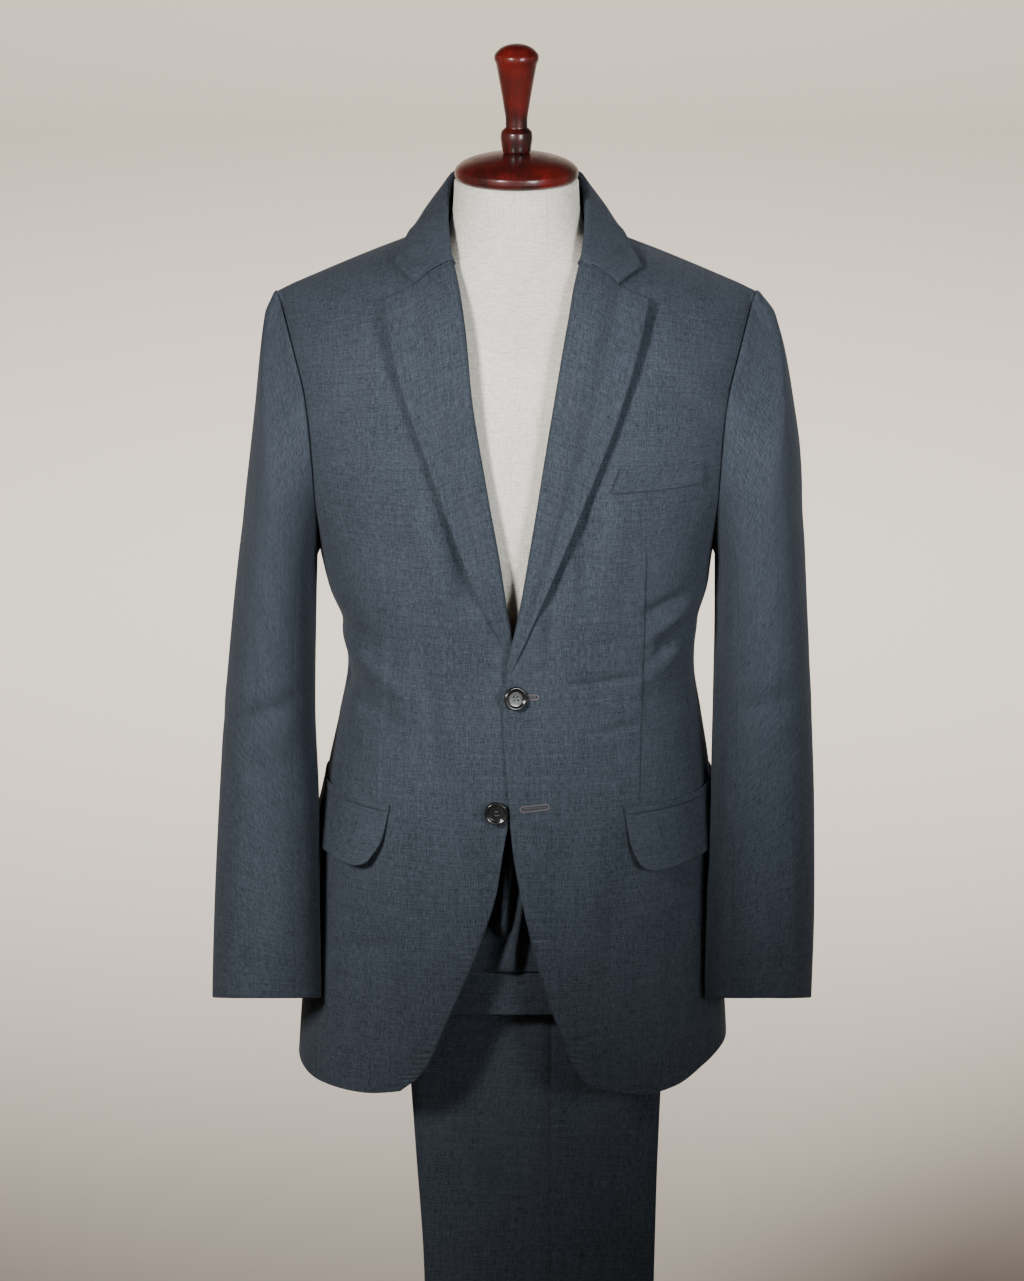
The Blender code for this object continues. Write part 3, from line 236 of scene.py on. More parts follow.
def bodyNormals(p):  # the field's slope along each axis by central differences, made unit
    step = 0.0004
    n = np.stack([bodyField(p + step * axis) - bodyField(p - step * axis) for axis in np.eye(3)], -1)
    return unit(n)


def normals(grid, wrap=False):  # cross product of the grid's two directions, made unit
    across = np.roll(grid, -1, 1) - np.roll(grid, 1, 1) if wrap else np.gradient(grid, axis=1)
    n = np.cross(across, np.gradient(grid, axis=0))
    return unit(n)


# Shader maths
class Wire:  # a socket with sums, products and powers
    def __init__(self, finish, socket):
        self.finish, self.socket = finish, socket

    def maths(self, kind, *others):  # one maths node on this wire and the others
        values = {i: v for i, v in enumerate((self, *others))}
        return self.finish.node("ShaderNodeMath", {"operation": kind}, values)

    def __add__(self, other):
        return self.maths("ADD", other)

    def __mul__(self, other):
        return self.maths("MULTIPLY", other)

    def __sub__(self, other):
        return self.maths("SUBTRACT", other)

    def __rsub__(self, other):
        return self.finish.node("ShaderNodeMath", {"operation": "SUBTRACT"}, {0: other, 1: self})

    __radd__, __rmul__ = __add__, __mul__


class Finish:  # a material: its shader, and one method that makes every other node
    def __init__(self, name, colour, **fixed):
        self.material = bpy.data.materials.new(name)
        self.material.use_nodes = True
        self.tree = self.material.node_tree
        self.shader = self.tree.nodes["Principled BSDF"]
        self.material.diffuse_color = (*colour, 1)
        self.shader.inputs["Base Color"].default_value = (*colour, 1)
        for key, value in fixed.items():
            self.shader.inputs[key.replace("_", " ")].default_value = value

    def node(self, kind, settings=None, values=None, out=0):  # settings first, then values or wires
        n = self.tree.nodes.new(kind)
        for key, value in (settings or {}).items():
            setattr(n, key, value)
        for key, value in (values or {}).items():
            if isinstance(value, Wire):
                self.tree.links.new(value.socket, n.inputs[key])
            else:
                n.inputs[key].default_value = value
        return Wire(self, n.outputs[out])

    def place(self, kind="Object", scale=(1, 1, 1)):  # object coordinates, or the weave's own map, stretched
        if kind == "Object":
            where = self.node("ShaderNodeTexCoord", out=3)
        else:
            where = self.node("ShaderNodeUVMap", {"uv_map": kind})
        return self.node("ShaderNodeVectorMath", {"operation": "MULTIPLY"}, {0: where, 1: scale})

    def noise(self, where, scale=1.0, detail=2.0, rough=0.5):  # fractal noise around 0.5
        return self.node("ShaderNodeTexNoise", None,
                         {"Vector": where, "Scale": scale, "Detail": detail, "Roughness": rough})

    def blend(self, factor, first, second):  # first colour at 0, second at 1
        colours = [v if isinstance(v, Wire) else (*v, 1) for v in (first, second)]
        return self.node("ShaderNodeMix", {"data_type": "RGBA"}, {0: factor, 6: colours[0], 7: colours[1]}, 2)

    def bump(self, height, distance, strength=1.0):  # the normal tilted by the slope of height
        return self.node("ShaderNodeBump", None,
                         {"Height": height, "Distance": distance, "Strength": strength})

    def feed(self, **sockets):  # wires into the shader's own sockets
        for key, wire in sockets.items():
            self.tree.links.new(wire.socket, self.shader.inputs[key.replace("_", " ")])
        return self.material


suitLook = {"light": (0.0347, 0.0437, 0.0575), "dark": (0.0047, 0.0065, 0.0092),
            "brown": (0.0206, 0.0209, 0.0238), "thread": 1450.0}


def suitCloth(name="suitCloth", look=suitLook):  # two thread noises, mottling and broad streaks, added
    f = Finish(name, look["light"], Roughness=0.85, Sheen_Weight=0.03, Sheen_Roughness=0.5,
               Sheen_Tint=(0.8, 0.86, 0.95, 1), Specular_IOR_Level=0.15)
    warp = f.noise(f.place("weave", (1500, 150, 1)), 1.0, 3.0, 0.62)     # upright threads, thick and thin
    weft = f.noise(f.place("weave", (150, 1500, 1)), 1.0, 3.0, 0.62)     # level threads
    patch = f.noise(f.place("weave", (900, 900, 1)), 1.0, 3.0, 0.65)    # two-tone mottling
    streak = f.noise(f.place("weave", (420, 24, 1)), 1.0, 2.0, 0.5)
    level = f.noise(f.place("weave", (22, 420, 1)), 1.0, 2.0, 0.5)
    broad = f.noise(f.place("weave", (28, 16, 1)), 1.0, 3.0, 0.5)
    stripe = f.node("ShaderNodeTexWave", {"wave_type": "BANDS", "bands_direction": "X"},
                    {"Vector": f.place("weave", (1, 1, 1)), "Scale": look["thread"] / 6.2832,
                     "Distortion": 0.0})
    cross = f.node("ShaderNodeTexWave", {"wave_type": "BANDS", "bands_direction": "Y"},
                   {"Vector": f.place("weave", (1, 1, 1)), "Scale": look["thread"] / 6.2832,
                    "Distortion": 0.0})
    tone = ((warp - 0.5) * 1.5 + (weft - 0.5) * 1.3 + (patch - 0.5) * 0.9 + (broad - 0.5) * 0.3
            + (streak - 0.5) * 0.45 + (level - 0.5) * 0.45 + (stripe * cross - 0.25) * 0.12) + 0.50
    colour = f.blend(tone, look["dark"], look["light"])
    colour = f.blend((patch - 0.54) * 1.8 + (broad - 0.5) * 0.8, colour, look["brown"])
    height = (warp + weft) * 0.6 + stripe * cross * 0.35 + patch * 0.2
    return f.feed(Base_Color=colour, Roughness=0.93 - tone * 0.14, Normal=f.bump(height, 0.00030, 0.9))


linenLook = {"light": (0.50, 0.478, 0.420), "dark": (0.29, 0.274, 0.236)}


def linen(name="formLinen", look=linenLook):  # level and upright thread noises with slow wear, added
    f = Finish(name, look["light"], Roughness=0.9, Sheen_Weight=0.1)
    warp = f.noise(f.place("Object", (1000, 1000, 130)), 1.0, 3.0, 0.6)
    weft = f.noise(f.place("Object", (130, 130, 1200)), 1.0, 3.0, 0.6)
    wear = f.noise(f.place("Object", (14, 14, 14)), 1.0, 3.0, 0.5)
    tone = (warp - 0.5) * 1.8 + (weft - 0.5) * 1.8 + (wear - 0.5) * 0.7 + 0.60
    return f.feed(Base_Color=f.blend(tone, look["dark"], look["light"]),
                  Roughness=0.95 - tone * 0.1, Normal=f.bump(warp + weft, 0.00025, 0.7))


mahoganyLook = {"light": (0.078, 0.0062, 0.0046), "dark": (0.0075, 0.0022, 0.0020)}


def mahogany(name="mahogany", look=mahoganyLook):  # stretched grain, slow bands and dark pores, added
    f = Finish(name, look["light"], Coat_Roughness=0.10, Coat_IOR=1.4, Coat_Weight=0.4,
               Specular_IOR_Level=0.2)
    bend = f.noise(f.place("Object", (24, 24, 24)), 1.0, 3.0, 0.55)
    grain = f.noise(f.place("Object", (340, 120, 26)), 1.0, 5.0, 0.65)
    pore = f.noise(f.place("Object", (900, 900, 60)), 1.0, 2.0, 0.5)
    tone = (grain - 0.5) * 1.3 + (bend - 0.5) * 2.8 + 0.46 - ease01(f, pore, 0.62, 0.75) * 0.25
    return f.feed(Base_Color=f.blend(tone, look["dark"], look["light"]), Roughness=0.42 - tone * 0.14,
                  Normal=f.bump(grain, 0.0001, 0.3))


def ease01(f, wire, low, high):  # smooth step on a wire
    return f.node("ShaderNodeMapRange", {"interpolation_type": "SMOOTHSTEP"},
                  {"Value": wire, "From Min": low, "From Max": high})


hornLook = {"dark": (0.0030, 0.0034, 0.0038), "light": (0.016, 0.017, 0.016)}


def horn(name="darkHorn", look=hornLook):  # smooth step of a swirling noise under a clear coat
    f = Finish(name, look["dark"], Coat_Weight=0.45, Coat_Roughness=0.04, Specular_IOR_Level=0.3)
    swirl = f.noise(f.place("Object", (160, 160, 70)), 1.0, 4.0, 0.6)
    fine = f.noise(f.place("Object", (700, 700, 500)), 1.0, 2.0, 0.5)
    tone = ease01(f, swirl + (fine - 0.5) * 0.2, 0.46, 0.72)
    return f.feed(Base_Color=f.blend(tone, look["dark"], look["light"]), Roughness=0.16 + fine * 0.16)


threadLook = {"light": (0.066, 0.052, 0.054), "dark": (0.020, 0.016, 0.018)}


def thread(name, look):  # smooth step of a very fine noise
    f = Finish(name, look["light"], Roughness=0.6, Sheen_Weight=0.2)
    twist = f.noise(f.place("Object", (2600, 2600, 2600)), 1.0, 3.0, 0.6)
    return f.feed(Base_Color=f.blend(ease01(f, twist, 0.35, 0.65), look["dark"], look["light"]),
                  Roughness=0.75 - twist * 0.2, Normal=f.bump(twist, 0.0002, 0.6))


steelLook = {"light": (0.50, 0.50, 0.51), "dark": (0.26, 0.26, 0.27)}


def steel(name="brushedSteel", look=steelLook):  # fine level lines and slow clouds, added
    f = Finish(name, look["light"], Metallic=1.0)
    brushed = f.noise(f.place("Object", (60, 60, 1800)), 1.0, 3.0, 0.6)
    cloud = f.noise(f.place("Object", (18, 18, 18)), 1.0, 4.0, 0.6)
    tone = (brushed - 0.5) * 0.9 + (cloud - 0.5) * 0.5 + 0.6
    return f.feed(Base_Color=f.blend(tone, look["dark"], look["light"]), Roughness=0.28 + cloud * 0.2,
                  Normal=f.bump(brushed, 0.00006, 0.4))


suit, cover, wood, button, metal = suitCloth(), linen(), mahogany(), horn(), steel()
holeThread = thread("buttonholeThread", threadLook)
darkThread = thread("buttonThread", {"light": (0.050, 0.052, 0.056), "dark": (0.012, 0.013, 0.015)})
# Near-black finish for the cord along each buttonhole slit: painted shade of the cut opening
slitPaintedShade = thread("slitPaintedShade", {"light": (0.0075, 0.0075, 0.0085), "dark": (0.0030, 0.0030, 0.0035)})
print("finishes made")


def quads(rows, columns, wrap=False, first=0):  # index quads of a grid
    last = columns if wrap else columns - 1
    i, j = np.meshgrid(np.arange(rows - 1), np.arange(last), indexing="ij")
    a, b = i * columns + j, i * columns + (j + 1) % columns
    return (np.stack([a, b, b + columns, a + columns], -1) + first).reshape(-1, 4)


def strip(a, b):  # quads between two matching rows of indices
    return np.stack([a[1:], a[:-1], b[:-1], b[1:]], -1)


def ringFaces(rows, sides):  # quads of a grid whose last row joins its first
    faces = quads(rows + 1, sides, True)
    return np.where(faces >= rows * sides, faces - rows * sides, faces)


def tubeFaces(rows, sides):  # quads of rings, and a fan at each end to one of two last points
    index = np.append(np.arange(sides), 0)
    fan = [np.stack([index[1:] + k, index[:-1] + k, np.full(sides, c), np.full(sides, c)], -1)
           for k, c in ((0, rows * sides), ((rows - 1) * sides, rows * sides + 1))]
    return np.concatenate([quads(rows, sides, True), fan[0], fan[1][:, ::-1]])


def makePiece(name, points, faces, look, nodes=(), uv=None):  # mesh, map, body and slot
    points = np.asarray(points, float).reshape(-1, 3) + (middleX, 0, 0)
    faces = np.asarray(faces)
    p = [points[faces[:, k]] for k in range(4)]
    turn = (np.cross(p[0], p[1]) * p[2]).sum() + (np.cross(p[0], p[2]) * p[3]).sum()
    if turn < 0:
        faces = faces[:, ::-1]
    faces = [tuple(dict.fromkeys(f)) for f in faces.tolist()]
    mesh = bpy.data.meshes.new(name)
    mesh.from_pydata(points.tolist(), [], faces)
    mesh.polygons.foreach_set("use_smooth", np.ones(len(faces), bool))
    if uv is not None:
        corners = np.empty(len(mesh.loops), np.int32)
        mesh.loops.foreach_get("vertex_index", corners)
        layer = mesh.uv_layers.new(name="weave")
        layer.data.foreach_set("uv", np.asarray(uv, np.float32).reshape(-1, 2)[corners].ravel())
    mesh.materials.append(look)
    piece = bpy.data.objects.new(name, mesh)
    bpy.context.scene.collection.objects.link(piece)
    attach(piece, body)
    if nodes:
        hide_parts(*nodes)
    return piece


def weaveMap(grid, start=0.0, level=None):  # arc lengths across and along, in metres
    across = np.linalg.norm(np.diff(grid, axis=1), axis=-1)
    u = np.concatenate([np.zeros((len(grid), 1)), np.cumsum(across, 1)], 1) + np.reshape(start, (-1, 1))
    if level is None:
        along = np.linalg.norm(np.diff(grid[:, grid.shape[1] // 2], axis=0), axis=-1)
        level = np.concatenate([[0], np.cumsum(along)])[:, None]
    return np.stack([u, level + 0 * u], -1)


def withBorders(grid, wall, axis, soft):  # extra lines close to both borders, and how full the wall is there
    grid = np.moveaxis(grid, axis, 0)
    lines, fulls = [], []
    for end, near, k in ((grid[0], grid[1], soft[0]), (grid[-1], grid[-2], soft[1])):
        reach = np.array([0.0, 0.10, 0.35, 1.0])
        length = np.linalg.norm((near - end)[..., :3], axis=-1, keepdims=True)
        part = np.minimum(wall * k * reach[:, None, None] / np.maximum(length, 1e-9), 0.92)
        lines.append(end + (near - end) * part)
        fulls.append(1 - k * (1 - np.sqrt(1 - (1 - reach) ** 2).clip(0.16)))
    grid = np.concatenate([lines[0], grid[1:-1], lines[1][::-1]])
    full = np.concatenate([fulls[0], np.ones(len(grid) - 8), fulls[1][::-1]])
    return np.moveaxis(grid, 0, axis), full


def wall(name, outer, normal, thick, uv, look=None, nodes=(), slot="cloth", held="draped", rests=(),
         wrap=False, soft=(1, 1, 1, 1), thin=None):
    # Closed wall inwards from a grid, its borders rounded as far as soft says
    thin = np.ones(outer.shape[:2]) if thin is None else thin
    data = np.concatenate([outer, normal, uv, thin[..., None]], -1)
    data, fullRow = withBorders(data, thick, 0, soft[:2])
    fullColumn = np.ones(data.shape[1])
    if not wrap:
        data, fullColumn = withBorders(data, thick, 1, soft[2:])
    full = np.minimum(fullRow[:, None], fullColumn[None, :])[..., None] * data[..., 8:]
    point, n = data[..., :3], data[..., 3:6]
    n = unit(n)
    out = point - n * thick / 2 * (1 - full)
    inside = point - n * thick / 2 * (1 + full)
    rows, columns = point.shape[:2]
    count = rows * columns
    index = np.arange(count).reshape(rows, columns)
    if wrap:
        index = np.concatenate([index, index[:, :1]], 1)
    faces = [quads(rows, columns, wrap), quads(rows, columns, wrap, count)[:, ::-1],
             strip(index[0], index[0] + count), strip(index[-1], index[-1] + count)[:, ::-1]]
    if not wrap:
        faces += [strip(index[:, 0], index[:, 0] + count)[:, ::-1], strip(index[:, -1], index[:, -1] + count)]
    both = np.concatenate([out.reshape(-1, 3), inside.reshape(-1, 3)])
    uvs = np.concatenate([data[..., 6:8].reshape(-1, 2)] * 2)
    piece = makePiece(name, both, np.concatenate(faces), look or suit, nodes, uvs)
    return piece


# Fronts
frontLook = {"rowsLow": 280, "rowsHigh": 60, "rollBack": 0.0034, "dartDepth": 0.0006,
             "dartWidth": 0.0008, "pucker": 0.00105, "puckerStep": 0.0056, "puckerReach": 0.019}


def tuckIn(x, z):  # how far the right front sinks behind the left one: a step, and a bell round the crossing
    return (0.0034 * ease(x, -0.055, -0.022) * (1 - ease(z, 1.150, 1.190))
            + 0.0052 * ease(x, -0.045, -0.012) * bell(z - 1.140, 0.034))


def frontPanel(side):  # rows from the hem to the shoulder, columns from the free edge to the seam
    edge, roll = (edgeLeft, rollLeft) if side > 0 else (edgeRight, rollRight)
    lapelEdge, dart = (lapelLeft, dartLeft) if side > 0 else (lapelRight, dartRight)
    corner = jacket["cornerLeftZ"] if side > 0 else jacket["cornerRightZ"]
    part = np.linspace(0, 1, frontLook["rowsLow"])
    level = mix(hemZ, chestZ, part + 0.50 * part * (part - 1))[:, None]  # rows closer together lower down

    def turnBack(at):  # the front's edge lies inside the lapel's roll
        return frontLook["rollBack"] * ease(at, 1.135, 1.165) * (1 - ease(at, 1.455, 1.470))

    def spread(inner, outer, place):  # columns gathered close about the dart
        at = np.clip((place - inner) / (outer - inner), 0.2, 0.85)
        step = 0.0022 / np.abs(outer - inner)
        near = at + step * np.linspace(-1, 1, 13)[None, :] ** 3
        left = np.linspace(0, 1, 42)[None, :-1] * (at - step)
        right = mix(at + step, 1.0, np.linspace(0, 1, 30)[None, 1:])
        return np.concatenate([left, near, right], 1)

    def settle(u):  # heights, free edge and seam for columns u, as the hem lifts them, found in three rounds
        z = level + 0 * u
        for _ in range(3):
            rise = (corner - hemZ) * (1 - u) ** 5 * (1 - ease(level, hemZ, hemZ + 0.07))
            inner = np.where(z < jacket["breakZ"], smooth(edge, z), side * smooth(roll, z))
            inner = inner + side * (gap + turnBack(z))
            seam = side * (smooth(seamTable, z) - seamTurn)
            z = level + rise + hemLift(mix(angleAt(inner, z), seam, u), level)
        return z, inner, seam

    z, inner, seam = settle(np.zeros((1, 1)))
    first = angleAt(inner, level)
    arm = angleAt(side * (smooth(armholeTable, level) - gap / 2), level)
    last = np.where(level <= underarmZ + 1e-6, side * (smooth(seamTable, level) - seamTurn), arm)
    turnPerMetre = np.abs(last - first) / np.abs(side * 0.17 - inner)
    u = spread(first / turnPerMetre, last / turnPerMetre, angleAt(smooth(dart, level), level) / turnPerMetre)
    z, inner, seam = settle(u)
    arm = angleAt(side * (smooth(armholeTable, z) - gap / 2), z)
    high = np.where(z <= underarmZ + 1e-6, seam, arm)
    lower = lowerBody(mix(angleAt(inner, z), high, u), z)
    rise = 0.9975 * np.linspace(0, 1, frontLook["rowsHigh"])[1:, None]
    inner, outer = side * (0.05 + 0 * rise), side * (0.19 + 0 * rise)
    flat = np.zeros(rise.shape, bool)
    for _ in range(14):
        zIn = upperBody(inner, rise, flat)[..., 2]
        zOut = upperBody(outer, rise, flat)[..., 2]
        inner = side * (smooth(roll, zIn) + gap + turnBack(zIn) + 0.0050 * ease(zIn, 1.4500, 1.4600))
        outer = side * (smooth(armholeTable, zOut) - gap / 2)
    u = mix(u[-1:], np.linspace(0, 1, u.shape[1])[None, :], ease(rise, 0, 0.5))
    x = mix(inner, outer, u)
    upper = upperBody(x, rise + 0 * x, np.zeros(x.shape, bool))
    grid = np.concatenate([lower, upper])
    return frontDetail(grid, side, dart, lapelEdge)


# Moves the surface in or out: a step at the dart, sine waves by the free edge, bell-shaped hollows
def frontDetail(grid, side, dart, lapelEdge):
    x, z = grid[..., 0], grid[..., 2]
    within = ease(z, dart[0][0], dart[0][0] + 0.02) * (1 - ease(z, dart[-1][0] - 0.02, dart[-1][0]))
    off = x - smooth(dart, z)
    out = -frontLook["dartDepth"] * np.tanh(off / frontLook["dartWidth"]) * bell(off, 0.008) * within
    away = np.linalg.norm(grid - grid[:, :1], axis=-1)
    along = np.concatenate([[0], np.cumsum(np.linalg.norm(np.diff(grid[:, 0], axis=0), axis=-1))])[:, None]
    turns = along / frontLook["puckerStep"] * 2 * math.pi
    beat = np.sin(turns + 1.1 * np.sin(along * 71) + 0.5 * np.sin(along * 173))
    strength = 0.65 + 0.35 * np.sin(along * 47 + 1.0)
    reach = frontLook["puckerReach"] * (0.8 + 0.3 * np.sin(along * 311))
    low = 1 - ease(z, 0.955, 1.000)
    fade = low * bell(away - 0.0055, reach * 0.55) * ease(away, 0.0, 0.004)
    out = out + frontLook["pucker"] * beat * strength * fade
    gone = side * x - smooth(lapelEdge, z)
    beside = ease(z, 1.165, 1.20) * (1 - ease(z, 1.418, 1.440))
    out = out - 0.0062 * bell(np.where(gone > 0, gone, gone * 2), 0.0145) * beside
    out = out + foldShape(x, z, z > 0, hollows)
    grid = grid + out[..., None] * bodyNormals(grid)
    if side < 0:
        grid[..., 1] += tuckIn(grid[..., 0], grid[..., 2])
    return grid


for side, label in ((1, "left"), (-1, "right")):
    grid = frontPanel(side)
    wall("front_" + label, grid, bodyNormals(grid), cloth, weaveMap(grid, side * grid[:, 0, 0]),
         nodes=("jacket_front_" + label,), held="hung", rests=("form_torso",), soft=(1, 0.2, 1, 0.2))
print("fronts made")


# Side panels and backs
def sidePanel(side, rows=90, columns=28):  # body angles between the two seams, straight between
    z = np.linspace(hemZ, underarmZ - 0.0016, rows)[:, None]
    v = np.linspace(0, 1, columns)[None, :]
    angle = side * mix(smooth(seamTable, z, 1) + seamTurn, smooth(seamTable, z, 2) - seamTurn, v)
    return lowerBody(angle, z + hemLift(angle, z))


# From the middle seam to the side seam or armhole
def backPanel(side, rowsLow=110, rowsHigh=44, columns=50):
    u = np.linspace(0, 1, columns)[None, :]
    z = np.linspace(hemZ, chestZ, rowsLow)[:, None]
    seam = smooth(seamTable, z, 2) + seamTurn
    arm = 180 - np.abs(angleAt(side * (smooth(armholeTable, z, 2) - gap / 2), z))
    angle = side * mix(179.93, np.where(z <= underarmZ + 1e-6, seam, arm), u)
    lower = lowerBody(angle, z + hemLift(angle, z))
    v = np.linspace(0, 1, rowsHigh)[1:, None]
    rise = v * 0.998
    outer = side * (0.19 + 0 * rise)
    for _ in range(14):
        zOut = upperBody(outer, rise, np.ones(rise.shape, bool))[..., 2]
        outer = side * (smooth(armholeTable, zOut, 2) - gap / 2)
    inner = side * mix(0.0004, jacket["neckX"] + 0.001, ease(v, 0.72, 1.0))
    x = mix(inner, outer, u)
    upper = upperBody(x, rise * mix(0.88, 1.0, ease(u, 0, 0.10)), np.ones(x.shape, bool))
    return np.concatenate([lower, upper])


for side, label in ((1, "left"), (-1, "right")):
    grid = sidePanel(side)
    wall("side_" + label, grid, bodyNormals(grid), cloth, weaveMap(grid), nodes=("jacket_side_" + label,),
         held="hung", rests=("form_torso",), soft=(1, 0.2, 0.2, 0.2))
    grid = backPanel(side)
    wall("back_" + label, grid, bodyNormals(grid), cloth, weaveMap(grid), nodes=("jacket_back_" + label,),
         held="hung", rests=("form_torso",), soft=(1, 0.2, 0.25, 0.2))
print("sides and backs made")

# Sleeves: height, outer side, inner side, front, back
sleeveLeft = [
    (0.790, 0.2535, 0.1640, -0.1130, -0.0130), (0.820, 0.2542, 0.1640, -0.1130, -0.0120),
    (0.895, 0.2558, 0.1660, -0.1110, -0.0020), (0.980, 0.2551, 0.1692, -0.1040, 0.0180),
    (1.064, 0.2523, 0.1712, -0.0960, 0.0420), (1.151, 0.2481, 0.1725, -0.0910, 0.0620),
    (1.223, 0.2446, 0.1722, -0.0880, 0.0740), (1.285, 0.2410, 0.1722, -0.0855, 0.0790),
    (1.328, 0.2350, 0.1740, -0.0790, 0.0740), (1.372, 0.2272, 0.1800, -0.0600, 0.0560),
    (1.405, 0.2180, 0.1900, -0.0350, 0.0350), (1.425, 0.2110, 0.1990, -0.0120, 0.0180),
]
sleeveRight = [
    (0.790, 0.2625, 0.1700, -0.1130, -0.0130), (0.820, 0.2618, 0.1702, -0.1130, -0.0120),
    (0.895, 0.2592, 0.1719, -0.1110, -0.0020), (0.980, 0.2549, 0.1723, -0.1040, 0.0180),
    (1.064, 0.2495, 0.1753, -0.0960, 0.0420), (1.151, 0.2415, 0.1740, -0.0910, 0.0620),
    (1.223, 0.2335, 0.1722, -0.0880, 0.0740), (1.285, 0.2260, 0.1720, -0.0855, 0.0790),
    (1.328, 0.2210, 0.1740, -0.0790, 0.0740), (1.372, 0.2165, 0.1800, -0.0600, 0.0560),
    (1.405, 0.2120, 0.1900, -0.0350, 0.0350), (1.425, 0.2070, 0.1990, -0.0120, 0.0180),
]
sleeve = {"hemZ": 0.808, "hemSlope": -0.34, "hemY": -0.055, "clearance": 0.0062,
          "seamFront": 122, "seamBack": 236, "seamTurn": 0.12, "rows": 150}
# Folds of the sleeves: turn round the sleeve, height, lean in mm per degree, half width in degrees,
# half height, height of the ridge
sleeveFoldsLeft = [(62, 0.915, 0.0, 13, 0.060, 0.0024), (84, 0.900, 0.0, 12, 0.060, -0.0024),
                   (110, 0.930, 0.2, 16, 0.050, 0.0016), (88, 1.105, -0.25, 46, 0.010, 0.0022),
                   (84, 1.086, -0.25, 46, 0.009, -0.0024), (80, 1.060, -0.20, 50, 0.011, 0.0018),
                   (40, 1.250, 0.4, 40, 0.020, -0.0016), (60, 1.330, 0.3, 30, 0.016, 0.0012)]
sleeveFoldsRight = [(72, 1.092, 0.25, 46, 0.010, 0.0026), (76, 1.074, 0.28, 46, 0.009, -0.0030),
                    (82, 1.052, 0.22, 48, 0.011, 0.0020), (96, 1.030, 0.10, 36, 0.009, -0.0016),
                    (60, 0.930, 0.0, 15, 0.060, 0.0016), (88, 0.910, 0.0, 14, 0.060, -0.0018),
                    (45, 1.240, 0.4, 40, 0.020, -0.0016), (60, 1.325, 0.3, 30, 0.016, 0.0012)]


def armholePoint(turn):  # 0 at the top, 90 at the front, 180 under the arm
    z = mix(underarmZ, 1.4232, 0.5 + 0.5 * np.cos(np.radians(turn)))
    back = np.sin(np.radians(turn)) < 0
    x = np.where(back, smooth(armholeTable, z, 2), smooth(armholeTable, z, 1))
    lowZ = np.minimum(z, chestZ)
    a = np.abs(angleAt(x, lowZ))
    low = lowerBody(np.where(back, 180 - a, a), lowZ)
    high = upperBody(x, riseAt(x, np.maximum(z, chestZ), back), back)
    point = np.where((z <= chestZ)[..., None], low, high)
    point[..., 0], point[..., 2] = x, z
    return point


def sleeveSection(table, z, turn):  # a squared ellipse between the table's four sides
    outer, inner, front, back = (smooth(table, z, k) for k in (1, 2, 3, 4))
    c, s = np.cos(np.radians(turn)), np.sin(np.radians(turn))
    x = (outer + inner) / 2 + (outer - inner) / 2 * np.sign(c) * np.abs(c) ** (2 / 2.15)
    y = (front + back) / 2 + (front - back) / 2 * np.sign(s) * np.abs(s) ** (2 / 2.15)
    return np.stack([x, y, z + 0 * x], -1)


def sideOfBody(y, z):  # the body's half width at y, from its squared ellipse
    z = np.minimum(z, underarmZ)
    depth = np.where(y < 0, smooth(bodyTable, z, 3), smooth(bodyTable, z, 4))
    across = np.clip(1 - np.clip(np.abs(y) / depth, 0, 1) ** sectionPower, 0, 1) ** (1 / sectionPower)
    return smooth(bodyTable, z, 2) * across


def sleevePanel(side, turns):  # from the armhole blending into the table's sections, with folds
    table = sleeveLeft if side > 0 else sleeveRight
    turns = np.asarray(turns, float)[None, :]
    start = armholePoint(turns)
    inward = start - np.array([0.0, 0.002, 1.314])
    inward[..., 0] = 0
    inward = unit(inward)
    start = start - inward * 0.0004 + 0.0007 * bodyNormals(start)
    under = 0.5 - 0.5 * np.cos(np.radians(turns))
    reach = mix(0.020, 0.070, np.abs(np.sin(np.radians(turns)))) * (1 - 0.5 * ease(under, 0.75, 1))
    v = (np.linspace(0, 1, sleeve["rows"]) ** 1.25)[:, None]
    end = sleeveSection(table, sleeve["hemZ"], turns)
    hem = sleeve["hemZ"] + sleeve["hemSlope"] * (end[..., 1] - sleeve["hemY"])
    z = mix(start[..., 2], hem, v)
    level = sleeveSection(table, z, turns + 0 * z)
    blend = np.sqrt(ease((start[..., 2] - z) / reach, 0, 1))
    x, y = (mix(start[..., k], level[..., k], blend) for k in (0, 1))
    free = sideOfBody(y, z) + smooth(bodyTable, np.minimum(z, underarmZ), 1) * side + sleeve["clearance"]
    held = (under > 0.5) & (z < underarmZ + 0.01)
    x = np.where(held, np.maximum(x, mix(start[..., 0], free, ease(v, 0, 0.06))), x)
    grid = np.stack([x, y, z], -1)
    away = level - sleeveSection(table, z, turns + 180.0 + 0 * z)
    away = unit(away)
    wrinkle = np.zeros(z.shape)
    for at, height, lean, width, tall, size in (sleeveFoldsLeft if side > 0 else sleeveFoldsRight):
        off = (turns - at + 180) % 360 - 180
        wrinkle = wrinkle + size * bell(off, width) * bell(z - height - lean * 0.001 * off, tall)
    grid = grid + away * (wrinkle * blend)[..., None]
    grid[..., 0] *= side
    inward = np.broadcast_to(-inward * (side, 1, 1), grid.shape)
    return grid, inward


